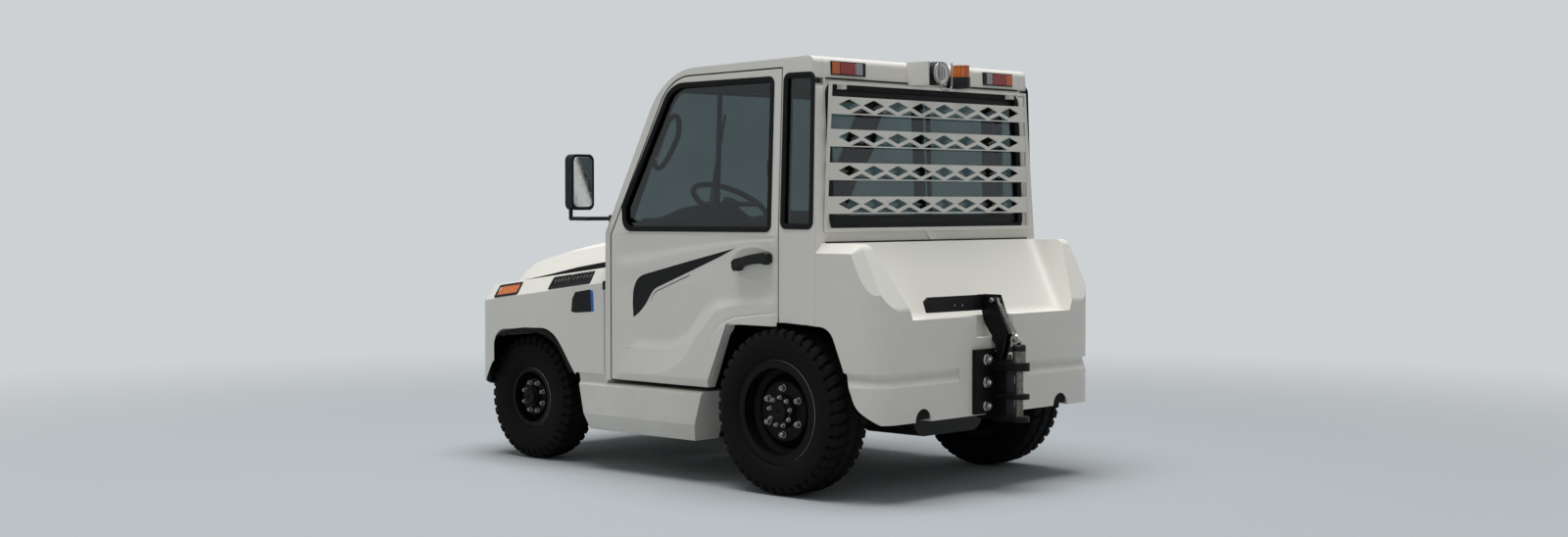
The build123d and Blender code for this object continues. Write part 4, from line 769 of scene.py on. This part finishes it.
def panelOn(place, low, high, depth, drop):  # a flat panel between two corners of a placed plane
    flat = np.stack(np.meshgrid([low[0], high[0]], [low[1], high[1]], indexing="ij"), -1)
    return skinShape(place(flat, np.full(flat.shape[:2], depth)), drop)


half, low, high = backWindow["half"], backWindow["low"], backWindow["high"]
backLine = rounded((-half, low), (half, high), 0.030)
addPiece("rear_window_gasket", bandShape(backLine, backWindow["gasket"], onBack), "tractor", "seal")
for name, start, end in (("low", low + 0.002, low + 0.050), ("high", high - 0.045, high - 0.002)):
    addPiece(f"rear_window_band_{name}", panelOn(onBack, (-half + 0.002, start), (half - 0.002, end), -0.0096,
                                                 [0, 0.0004, 0]), "tractor", "vinyl")
post = [(-0.030, 0.132), (0.030, 0.132), (0.030, 0.154), (-0.030, 0.154)]
addPiece("rear_window_post", slabShape(post, "z", 1.112, 1.712, lean=-0.029), "tractor", "plastic",
         bevel=0.004)
half, low, high = frontWindow["half"], frontWindow["low"], frontWindow["high"]
frontCorners = rounded((-half, low), (half, high), 0.040)
frontLine = evenLine(np.vstack([frontCorners, frontCorners[:1]]), 160)[:-1]
addPiece("windscreen_gasket", bandShape(frontLine, backWindow["gasket"], onFront), "tractor", "seal")

# Wiper: an arm from the foot of the windscreen and its blade
wiper = {
    "arm": [(0.10, 1.118), (0.14, 1.25), (0.19, 1.42)], "armOut": [0.020, 0.024, 0.022],
    "blade": [(0.12, 1.20), (0.19, 1.42), (0.25, 1.62)], "bladeOut": [0.008, 0.012, 0.008], "pivotOut": 0.004,
    "pivot": [(-0.022, 0.001), (-0.022, 0.014), (-0.004, 0.016), (0.006, 0.012), (0.006, 0.001)],
}
armLine = evenLine(onFront(np.array(wiper["arm"]), np.array(wiper["armOut"])), 12, 2)
bladeLine = evenLine(onFront(np.array(wiper["blade"]), np.array(wiper["bladeOut"])), 16, 2)
pivotSpot = onFront(np.array(wiper["arm"][0]), np.array(wiper["pivotOut"]))
addPiece("wiper_arm", tubeShape(armLine, 0.005), "tractor", "plastic")
addPiece("wiper_blade", tubeShape(bladeLine, 0.006, 8), "tractor", "seal")
addPiece("wiper_pivot", turnedShape(wiper["pivot"], pivotSpot, "y", 20), "tractor", "plastic")
print("windows made")


# Fenders: black mesh in the bevel, the turn lamp's surround, blank films, the bonnet's strip, the arch edge
fender = {"front": -2.060, "crease": 0.738, "rise": 0.1257, "bevel": (0.050, 0.070), "zone": (0.012, 0.0705),
          "vents": [(-1.487, -1.366), (-1.352, -1.205)], "ventBack": (-1.494, -1.198), "pitch": 0.011,
          "lamp": (-1.878, -1.736), "filmX": (0.7492, 0.7507),
          "strip": [(-1.96, 0.842), (-1.923, 0.848), (-1.774, 0.873), (-1.556, 0.914), (-1.359, 0.943),
                    (-1.108, 0.980)], "stripX": 0.5008, "stripEnds": (-1.958, -1.108), "stripLow": 0.064,
          "arch": [(-1.868, 0.581), (-1.842, 0.601), (-1.768, 0.6195), (-1.664, 0.631), (-1.551, 0.633),
                   (-1.474, 0.611), (-1.411, 0.573), (-1.369, 0.521), (-1.335, 0.472), (-1.311, 0.4425)],
          "hub": (-1.705, 0.294), "archWide": 0.024, "archX": 0.7509}
slope = math.hypot(*fender["bevel"])


def onBevel(flat, depth):  # (y, way up the bevel) lies on the bevel: the crease's line plus its own slope
    share = flat[..., 1] / slope
    out = np.asarray(depth) / slope
    x = cabin["half"] - fender["bevel"][0] * share + fender["bevel"][1] * out
    z = fender["crease"] + fender["rise"] * (flat[..., 0] - fender["front"])
    return np.stack([x, flat[..., 0], z + fender["bevel"][1] * share + fender["bevel"][0] * out], -1)


surround = [(0.0, 0.0002), (0.0, 0.0045), (-0.003, 0.0055), (-0.010, 0.0055), (-0.011, 0.0002)]
low, high = fender["zone"]
ventShapes, panelShapes = [], []
for start, end in fender["vents"]:
    ventLine = rounded((start - 0.006, low - 0.004), (end + 0.006, high + 0.004), 0.006, 3)
    ventShapes.append(bandShape(ventLine, surround, onBevel))
    # the mesh: rounded openings are sunk where cos(2 pi y / p) cos(2 pi s / p) is over 0.35
    flat = np.stack(np.meshgrid(np.linspace(start, end, 90), np.linspace(low, high, 40), indexing="ij"), -1)
    waves = np.cos(flat * 2 * np.pi / fender["pitch"])
    holes = waves[..., 0] * waves[..., 1]
    panelShapes.append(skinShape(onBevel(flat, 0.0026 - 0.0014 * (holes > 0.35)), [0.001, 0, 0.001]))
backAlong, backUp = np.linspace(*fender["ventBack"], 30), np.linspace(low - 0.004, high + 0.004, 4)
flat = np.stack(np.meshgrid(backAlong, backUp, indexing="ij"), -1)
ventShapes.append(skinShape(onBevel(flat, 0.0012), [0.001, 0, 0.001]))
onTractor = ("tractor", "tractor")
addBoth("fender_vent_frame", joined(*ventShapes), onTractor, "plastic")
addBoth("fender_vent_mesh", joined(*panelShapes), onTractor, "mesh", angle=60)
start, end = fender["lamp"]
lampLine = rounded((start - 0.016, low - 0.006), (end + 0.018, high + 0.006), 0.008, 3)
addBoth("turn_lamp_surround", bandShape(lampLine, surround, onBevel), onTractor, "plastic")
plates = {
    "dark": [(-1.323, 0.719), (-1.295, 0.715), (-1.183, 0.7235), (-1.189, 0.824), (-1.193, 0.825),
             (-1.295, 0.810), (-1.316, 0.778)],
    "blue": [(-1.183, 0.7235), (-1.166, 0.725), (-1.170, 0.812), (-1.176, 0.820), (-1.189, 0.824)],
    "notch": [(-1.105, 0.826), (-1.087, 0.828), (-1.087, 0.868), (-1.105, 0.865)],
    "seam": [(-1.0945, 0.447), (-1.0915, 0.447), (-1.0915, 0.827), (-1.0945, 0.827)],
}
for name, finish in (("dark", "vinyl"), ("blue", "blueFilm"), ("notch", "seal"), ("seam", "seal")):
    addBoth(f"fender_{name}_film", slabShape(plates[name], "x", *fender["filmX"]), onTractor, finish)
along = np.linspace(*fender["stripEnds"], 60)
stripHigh = np.interp(along, *np.array(fender["strip"]).T)
stripLow = fender["crease"] + fender["rise"] * (along - fender["front"]) + fender["stripLow"]
stripFlat = np.stack([np.full(60, fender["stripX"]), along], 1)
strip = np.stack([np.column_stack([stripFlat, stripLow]), np.column_stack([stripFlat, stripHigh])], 1)
addBoth("bonnet_side_seal", skinShape(strip, [0.002, 0, 0]), ("bonnet", "bonnet"), "seal")
arch = evenLine(fender["arch"], 70, 4)
inwards = np.array(fender["hub"]) - arch
inwards /= np.linalg.norm(inwards, axis=1)[:, None]
edging = arch + inwards * fender["archWide"] * eased(np.linspace(0, 12, 70))[:, None]
band = np.stack([np.insert(edging, 0, fender["archX"], 1), np.insert(arch, 0, fender["archX"], 1)], 1)
inner = band - [0.004, 0, 0]
ring = np.stack([inner[:, 0], band[:, 0], band[:, 1], inner[:, 1]], 1)
addBoth("front_arch_edging", gridShape(ring, False, True), onTractor, "liner")
print("fender details made")


# Nose: dark mesh behind the louvres, its holes as in the vents, and the lamps' bright rims
nose = {"meshX": (-0.329, 0.329), "meshZ": (0.501, 0.729), "meshY": -2.0295, "pitch": 0.013,
        "lamp": (0.440, 0.640), "radius": 0.058}
meshAlong, meshUp = np.linspace(*nose["meshX"], 150), np.linspace(*nose["meshZ"], 54)
flat = np.stack(np.meshgrid(meshAlong, meshUp, indexing="ij"), -1)
waves = np.cos(flat * 2 * np.pi / nose["pitch"])
holes = waves[..., 0] * waves[..., 1]
meshPoints = np.stack([flat[..., 0], nose["meshY"] + 0.0015 * (holes > 0.3), flat[..., 1]], -1)
addPiece("grille_mesh", skinShape(meshPoints, [0, -0.002, 0]), "tractor", "mesh", angle=60)
lampX, lampZ = nose["lamp"]
rimProfile = np.array([(-2.0605, -0.004), (-2.0628, -0.002), (-2.0628, 0.004), (-2.0590, 0.007),
                       (-2.0590, -0.004)]) + [0, nose["radius"]]
rim = turnedShape(rimProfile, (lampX, 0, lampZ), "y", 48, closed=True)
addBoth("headlamp_rim", rim, onTractor, "bright")
print("nose details made")


# Dash: the cowl over the instruments, two soft humps, each a bell exp(-((x - middle) / reach) ^ 4)
cowl = {"x": (-0.600, 0.600), "y": (-1.000, -0.720), "low": 1.150, "rise": 0.060, "wall": 0.030,
        "humps": [(0.33, 0.17, 1.0), (-0.30, 0.20, 0.55)]}
flat = np.stack(np.meshgrid(np.linspace(*cowl["x"], 90), np.linspace(*cowl["y"], 34), indexing="ij"), -1)
share = (flat[..., 1] - cowl["y"][0]) / (cowl["y"][1] - cowl["y"][0])
bell = sum(high * np.exp(-((flat[..., 0] - middle) / reach) ** 4) for middle, reach, high in cowl["humps"])
height = cowl["low"] + cowl["rise"] * bell * np.sin(np.pi * np.clip(share, 0, 1)) ** 0.7
addPiece("dash_cowl", skinShape(np.dstack([flat, height]), [0, 0, cowl["wall"]]), "tractor", "dash", angle=60)
print("dash made")


# Tail: bolts on the hitch plate, the pin's black cap, the sprung rod and the lever's pivot
hitch = {"plate": 0.5722, "rodTop": (0, 0.560, 0.810), "rodFoot": (0, 0.668, 0.640), "rod": 0.0096,
         "coil": 0.0155, "wire": 0.0027, "turns": 11, "spring": (0.16, 0.80),
         "boltX": (-0.082, 0.082), "boltZ": (0.560, 0.465, 0.365), "smallX": 0.015, "smallZ": (0.596, 0.556)}
bolts = [facingBack(nutShape((hitch["plate"], -x, z), 0.034, 0.015, 0.4 * z))
         for x in hitch["boltX"] for z in hitch["boltZ"]]
bolts += [facingBack(nutShape((hitch["plate"], -hitch["smallX"], z), 0.014, 0.007, z))
          for z in hitch["smallZ"]]
addPiece("hitch_bolts", joined(*bolts), "tractor", "bright", bevel=0.0012, angle=30)
top, foot = np.array(hitch["rodTop"]), np.array(hitch["rodFoot"])
addPiece("hitch_rod", tubeShape([top, foot], hitch["rod"], 16), "tractor", "zinc")
share = np.linspace(*hitch["spring"], 300)[:, None]
turn = share * 2 * np.pi * hitch["turns"] / (hitch["spring"][1] - hitch["spring"][0])
across, upward = np.array([1.0, 0, 0]), np.cross((foot - top) / np.linalg.norm(foot - top), [1.0, 0, 0])
coil = top + (foot - top) * share + hitch["coil"] * (np.cos(turn) * across + np.sin(turn) * upward)
addPiece("hitch_spring", tubeShape(coil, hitch["wire"], 6), "tractor", "zinc")
eyeProfile = [(-0.012, 0.010), (-0.012, 0.021), (-0.009, 0.024), (0.009, 0.024), (0.012, 0.021),
              (0.012, 0.010)]
eye = turnedShape(eyeProfile, (0, 0.664, 0.645), "x", 28, closed=True)
capProfile = [(0.598, 0.001), (0.598, 0.0282), (0.602, 0.0286), (0.619, 0.0286), (0.6252, 0.024),
              (0.6258, 0.001)]
pivotProfile = [(-0.031, 0.001), (-0.031, 0.0098), (0.040, 0.0098), (0.042, 0.008), (0.042, 0.001)]
addPiece("hitch_rod_eye", eye, "tractor", "bright")
addPiece("hitch_pin_cap", turnedShape(capProfile, (0, 0.680, 0), "z", 32), "tractor", "plastic")
addPiece("lever_pivot", turnedShape(pivotProfile, hitch["rodTop"], "x", 24), "tractor", "zinc")
print("hitch details made")


# Dark strips: a painted shadow for the gap where the cab meets the deck, and dark backs to the openings at
# the tail's lower edge
# a black strip on the cab wall under the guard's foot, a painted shadow standing in for the gap
seam = [(0.2035, 1.0554), (0.2092, 1.0554), (0.2092, 1.0612), (0.2035, 1.0612)]
addPiece("deck_gap_painted_shadow", slabShape(seam, "x", -0.690, 0.690), "tractor", "seal", bevel=0.001)
backing = boxShape((0.432, 0.530, 0.336), (0.518, 0.5485, 0.398))
addPiece("tail_opening_backs", joined(backing, mirrored(backing)), "tractor", "liner", bevel=0.002)
print("seams made")


# Roof: tail lamps, work lamp, beacon and the drip rail under them
tailLamp = {"inner": 0.403, "outer": 0.620, "low": 1.751, "high": 1.809, "wall": 0.166, "face": 0.1745}
for finish, start, end in (("clear", 0.425, 0.469), ("red", 0.471, 0.567), ("amber", 0.569, 0.616)):
    lensLow, lensHigh = tailLamp["low"] + 0.005, tailLamp["high"] - 0.005
    shape = boxShape((start, tailLamp["wall"], lensLow), (end, tailLamp["face"] + 0.003, lensHigh))
    addPiece(f"tail_lens_{finish}", joined(shape, mirrored(shape)), "tractor", finish, bevel=0.002,
             replace=["tail_lamps"] if finish == "red" else [])
case = boxShape((tailLamp["inner"], tailLamp["wall"], tailLamp["low"]),
                (tailLamp["outer"], tailLamp["face"], tailLamp["high"]))
addPiece("tail_lamp_cases", joined(case, mirrored(case)), "tractor", "plastic", bevel=0.002)
rail = [(-0.655, 0.1755, 1.7355), (0.655, 0.1755, 1.7355)]
addPiece("roof_drip_rail", tubeShape(rail, 0.0035, 10), "tractor", "seal")
workLamp = {
    "centre": (0.0715, 0, 1.776),
    "housing": [(0.236, 0.001), (0.236, 0.030), (0.250, 0.046), (0.262, 0.0508), (0.310, 0.0509),
                (0.3172, 0.0492), (0.3172, 0.0445), (0.312, 0.043), (0.312, 0.001)],
    "bezel": [(0.3165, 0.0440), (0.3165, 0.0490), (0.3195, 0.0485), (0.3195, 0.0445)],
    "lens": [(0.3125, 0.001), (0.3125, 0.0428), (0.3150, 0.0425), (0.3168, 0.020), (0.3172, 0.001)],
    "hoop": [(0.090, 1.822), (0.090, 1.706), (0.012, 1.706), (0.012, 1.822)], "hoopY": 0.3235,
}
for name, finish in (("housing", "plastic"), ("bezel", "zinc"), ("lens", "clear")):
    lampPart = turnedShape(workLamp[name], workLamp["centre"], "y", 40, closed=name == "bezel")
    addPiece(f"work_lamp_{name}", lampPart, "tractor", finish)
hoop = roundedLine(workLamp["hoop"], [0, 0.022, 0.022, 0], 6, False)
hoopLine = np.column_stack([hoop[:, 0], np.full(len(hoop), workLamp["hoopY"]), hoop[:, 1]])
addPiece("work_lamp_guard", tubeShape(hoopLine, 0.0038, 10), "tractor", "zinc")
beacon = {"centre": (-0.180, 0.220, 0), "foot": ((-0.2166, 0.1650, 1.7256), (-0.1434, 0.200, 1.7766)),
          "base": [(1.7255, 0.001), (1.7255, 0.0424), (1.772, 0.0428), (1.7765, 0.040),
                   (1.7765, 0.001)],
          "dome": [(1.775, 0.001), (1.775, 0.0394), (1.805, 0.0394), (1.817, 0.036), (1.8235, 0.026),
                   (1.8258, 0.012), (1.8260, 0.001)]}
beaconBase = joined(turnedShape(beacon["base"], beacon["centre"], "z", 40), boxShape(*beacon["foot"]))
addPiece("beacon_base", beaconBase, "tractor", "plastic")
addPiece("beacon_dome", turnedShape(beacon["dome"], beacon["centre"], "z", 40), "tractor", "amber")
print("roof lamps made")


# Mirrors: the glass in its black head, facing straight back
mirror = {"low": (0.773, 1.203), "high": (0.881, 1.427), "corner": 0.022, "faces": (-1.1515, -1.1482)}
for side, sign in (("left", 1), ("right", -1)):
    glassShape = slabShape(rounded(mirror["low"], mirror["high"], mirror["corner"]), "y", *mirror["faces"])
    addPiece(f"mirror_glass_{side}", glassShape if sign > 0 else mirrored(glassShape), "tractor", "mirror",
             bevel=0.0012)
print("mirrors made")


# Rims: a painted highlight, a bright steel ring on the flange's edge where the black rim catches the light
for axle, size in tyres.items():
    x, y, z = size["x"] + size["rim"] + 0.006, size["y"], size["radius"]
    highlightProfile = np.array([(0, -0.004), (0.0016, -0.002), (0, 0), (-0.003, -0.002)]) + [x, size["flange"]]
    ring = turnedShape(highlightProfile, (0, y, z), "x", 96, closed=True)
    addBoth(f"{axle}_rim_edge", ring, (f"wheel_{axle}_left", f"wheel_{axle}_right"), "zinc")
print("rims made")


# Seats: the cushions and backs swell from slightly small blocks, then get their sewn channels and piping
seats = {
    "cushion": {"low": (0.105, -0.480, 0.775), "high": (0.565, 0.025, 0.870), "pressure": 4.0, "cap": 0.014,
                "channels": [-0.13, 0.13], "crown": 2, "node": "seat_cushions"},
    "back": {"low": (0.115, 0.036, 0.742), "high": (0.555, 0.140, 1.118), "pressure": 4.0, "cap": 0.012,
             "channels": [-0.12, 0.12], "crown": 1, "node": "seat_backs"},
}
padding = {"inset": 0.011, "round": 0.022, "voxel": 0.009, "frames": 20, "furrow": 0.006,
           "furrowWidth": 0.007}


def swollen(name, size):
    # voxel mesh of the block, blown up by the cloth solver, each point moved by the cap at most
    low, high = np.array(size["low"]) + padding["inset"], np.array(size["high"]) - padding["inset"]
    mesh = bpy.data.meshes.new(name)
    spots, faces = boxShape(low, high)
    mesh.from_pydata((spots + [0, rearAxle, 0]).tolist(), [], faces)
    pad = bpy.data.objects.new(name, mesh)
    bpy.context.collection.objects.link(pad)
    soft = pad.modifiers.new("round", "BEVEL")
    soft.width, soft.segments = padding["round"], 4
    grid = pad.modifiers.new("grid", "REMESH")
    grid.mode, grid.voxel_size = "VOXEL", padding["voxel"]
    mesh = bpy.data.meshes.new_from_object(pad.evaluated_get(bpy.context.evaluated_depsgraph_get()))
    pad.modifiers.clear()
    pad.data = mesh
    rest = np.empty(len(mesh.vertices) * 3)
    mesh.vertices.foreach_get("co", rest)
    rest = rest.reshape(-1, 3)
    blow = pad.modifiers.new("blow", "CLOTH")
    blow.settings.use_pressure = True
    blow.settings.uniform_pressure_force = size["pressure"]
    blow.settings.effector_weights.gravity = 0
    for step in range(1, padding["frames"] + 1):
        bpy.context.scene.frame_set(step)
    shaped = pad.evaluated_get(bpy.context.evaluated_depsgraph_get()).data
    moves = np.empty(len(shaped.vertices) * 3)
    shaped.vertices.foreach_get("co", moves)
    moves = moves.reshape(-1, 3) - rest
    far = np.linalg.norm(moves, axis=1)[:, None] + 1e-9
    rest = rest + moves * np.minimum(far, size["cap"]) / far
    pad.modifiers.clear()
    bpy.context.scene.frame_set(1)
    # channels: a furrow on each sewn line, depth * exp(-(distance / width) ^ 2), on the face one sits on
    middle = (np.array(size["low"]) + np.array(size["high"])) / 2 + [0, rearAxle, 0]
    flat = rest - middle
    axis = size["crown"]
    face = flat[:, axis] if axis == 2 else -flat[:, axis]
    depth = sum(np.exp(-((flat[:, 0] - line) / padding["furrowWidth"]) ** 2) for line in size["channels"])
    rest[:, axis] -= (1 if axis == 2 else -1) * padding["furrow"] * depth * (face > 0.018)
    inside = np.array(size["low"]) + [0, rearAxle, 0], np.array(size["high"]) + [0, rearAxle, 0]
    rest = np.clip(rest, inside[0], inside[1])
    return pad, rest


def seatPad(name, size):  # the swollen block on the left and its mirror image on the right
    pad, spots = swollen(name, size)
    for side, sign in (("left", 1), ("right", -1)):
        mesh = pad.data if sign > 0 else pad.data.copy()
        mesh.vertices.foreach_set("co", (spots * [sign, 1, 1]).ravel())
        if sign < 0:
            mesh.flip_normals()
        mesh.update()
        mesh.materials.clear()
        mesh.materials.append(finishes["cloth"])
        mesh.polygons.foreach_set("use_smooth", [True] * len(mesh.polygons))
        piece = pad if sign > 0 else bpy.data.objects.new(f"{name}_right", mesh)
        if sign > 0:
            piece.name = f"{name}_left"
        else:
            bpy.context.collection.objects.link(piece)
        finer = piece.modifiers.new("finer", "SUBSURF")
        finer.levels = finer.render_levels = 1
        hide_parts(size["node"])
        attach(piece, "tractor")


def pipingShape(size):  # piping round a cushion's top or a back's front, inside the CAD block
    (a, b, c), (d, e, f) = size["low"], size["high"]
    if size["crown"] == 2:
        flat = rounded((a + 0.007, b + 0.007), (d - 0.007, e - 0.007), 0.045, 8)
        line = np.column_stack([flat, np.full(len(flat), f - 0.022)])
    else:
        flat = rounded((a + 0.007, c + 0.007), (d - 0.007, f - 0.007), 0.045, 8)
        line = np.column_stack([flat[:, 0], np.full(len(flat), b + 0.022), flat[:, 1]])
    return tubeShape(line, 0.004, 8, True)


for name, size in seats.items():
    seatPad(f"seat_{name}", size)
    addBoth(f"seat_{name}_piping", pipingShape(size), onTractor, "vinyl")
print("seats made")


# Floor and light
def addLight(name, place, size, power):  # a round lamp turned towards a point 0.9 m above the floor
    light = bpy.data.lights.new(name, "AREA")
    light.shape = "DISK"
    light.size = size
    light.energy = power
    lamp = bpy.data.objects.new(name, light)
    lamp.location = place
    way = np.array([0, 0, 0.9]) - np.array(place)
    lamp.rotation_euler = (math.atan2(math.hypot(way[0], way[1]), -way[2]), 0, math.atan2(way[0], -way[1]))
    bpy.context.collection.objects.link(lamp)


studio = {"key": ((1.4, 0.0, 14.0), 10.5, 2150), "side": ((8.0, 1.5, 4.0), 5.0, 30),
          "tail": ((1.5, 8.0, 4.5), 4.0, 210), "front": ((-5.0, -6.0, 6.0), 6.0, 90)}
for name, (place, size, power) in studio.items():
    addLight(name, place, size, power)
surroundings = {"floor": "#A9AEB2", "backdrop": "#CDD1D4", "sky": "#EFEFEE", "skyPower": 0.28,
                "fade": (2.4, 8.0)}


def seenRay(tree):  # 1 for rays from the camera, off glossy faces and through glass, otherwise 0
    rays = addNode(tree, "ShaderNodeLightPath").outputs
    first = addNode(tree, "ShaderNodeMath", {"operation": "MAXIMUM"},
                    {0: rays["Is Camera Ray"], 1: rays["Is Glossy Ray"]}).outputs[0]
    return addNode(tree, "ShaderNodeMath", {"operation": "MAXIMUM"},
                   {0: first, 1: rays["Is Transmission Ray"]}).outputs[0]


groundMesh = bpy.data.meshes.new("ground")
groundMesh.from_pydata([(-40, -40, 0), (40, -40, 0), (40, 40, 0), (-40, 40, 0)], [], [(0, 1, 2, 3)])
ground = bpy.data.objects.new("ground", groundMesh)
bpy.context.collection.objects.link(ground)
groundFinish, tree, surface, place = startMaterial("ground", {
    "Roughness": 0.9, "Base Color": toLinear(surroundings["floor"])})
# far out the floor passes into the backdrop wherever it is seen
direct = seenRay(tree)
distance = addNode(tree, "ShaderNodeVectorMath", {"operation": "LENGTH"}, {0: place}).outputs["Value"]
fade = addNode(tree, "ShaderNodeMapRange", {
    "interpolation_type": "SMOOTHSTEP", 1: surroundings["fade"][0], 2: surroundings["fade"][1], 3: 0.0,
    4: 1.0}, {0: distance}).outputs[0]
share = addNode(tree, "ShaderNodeMath", {"operation": "MULTIPLY"}, {0: fade, 1: direct}).outputs[0]
pale = addNode(tree, "ShaderNodeEmission", {"Color": toLinear(surroundings["backdrop"]), "Strength": 1.0})
both = addNode(tree, "ShaderNodeMixShader", links={0: share, 1: surface.outputs[0], 2: pale.outputs[0]})
tree.links.new(both.outputs[0], tree.nodes["Material Output"].inputs["Surface"])
groundMesh.materials.append(groundFinish)

world = bpy.data.worlds.new("world")
bpy.context.scene.world = world
world.use_nodes = True
tree = world.node_tree
tree.nodes.clear()
sky = addNode(tree, "ShaderNodeBackground", {
    "Color": toLinear(surroundings["sky"]), "Strength": surroundings["skyPower"]})
backdrop = addNode(tree, "ShaderNodeBackground", {
    "Color": toLinear(surroundings["backdrop"]), "Strength": 1.0})
mixed = addNode(tree, "ShaderNodeMixShader",
                links={0: seenRay(tree), 1: sky.outputs[0], 2: backdrop.outputs[0]})
addNode(tree, "ShaderNodeOutputWorld", links={"Surface": mixed.outputs[0]})

print("scene built")
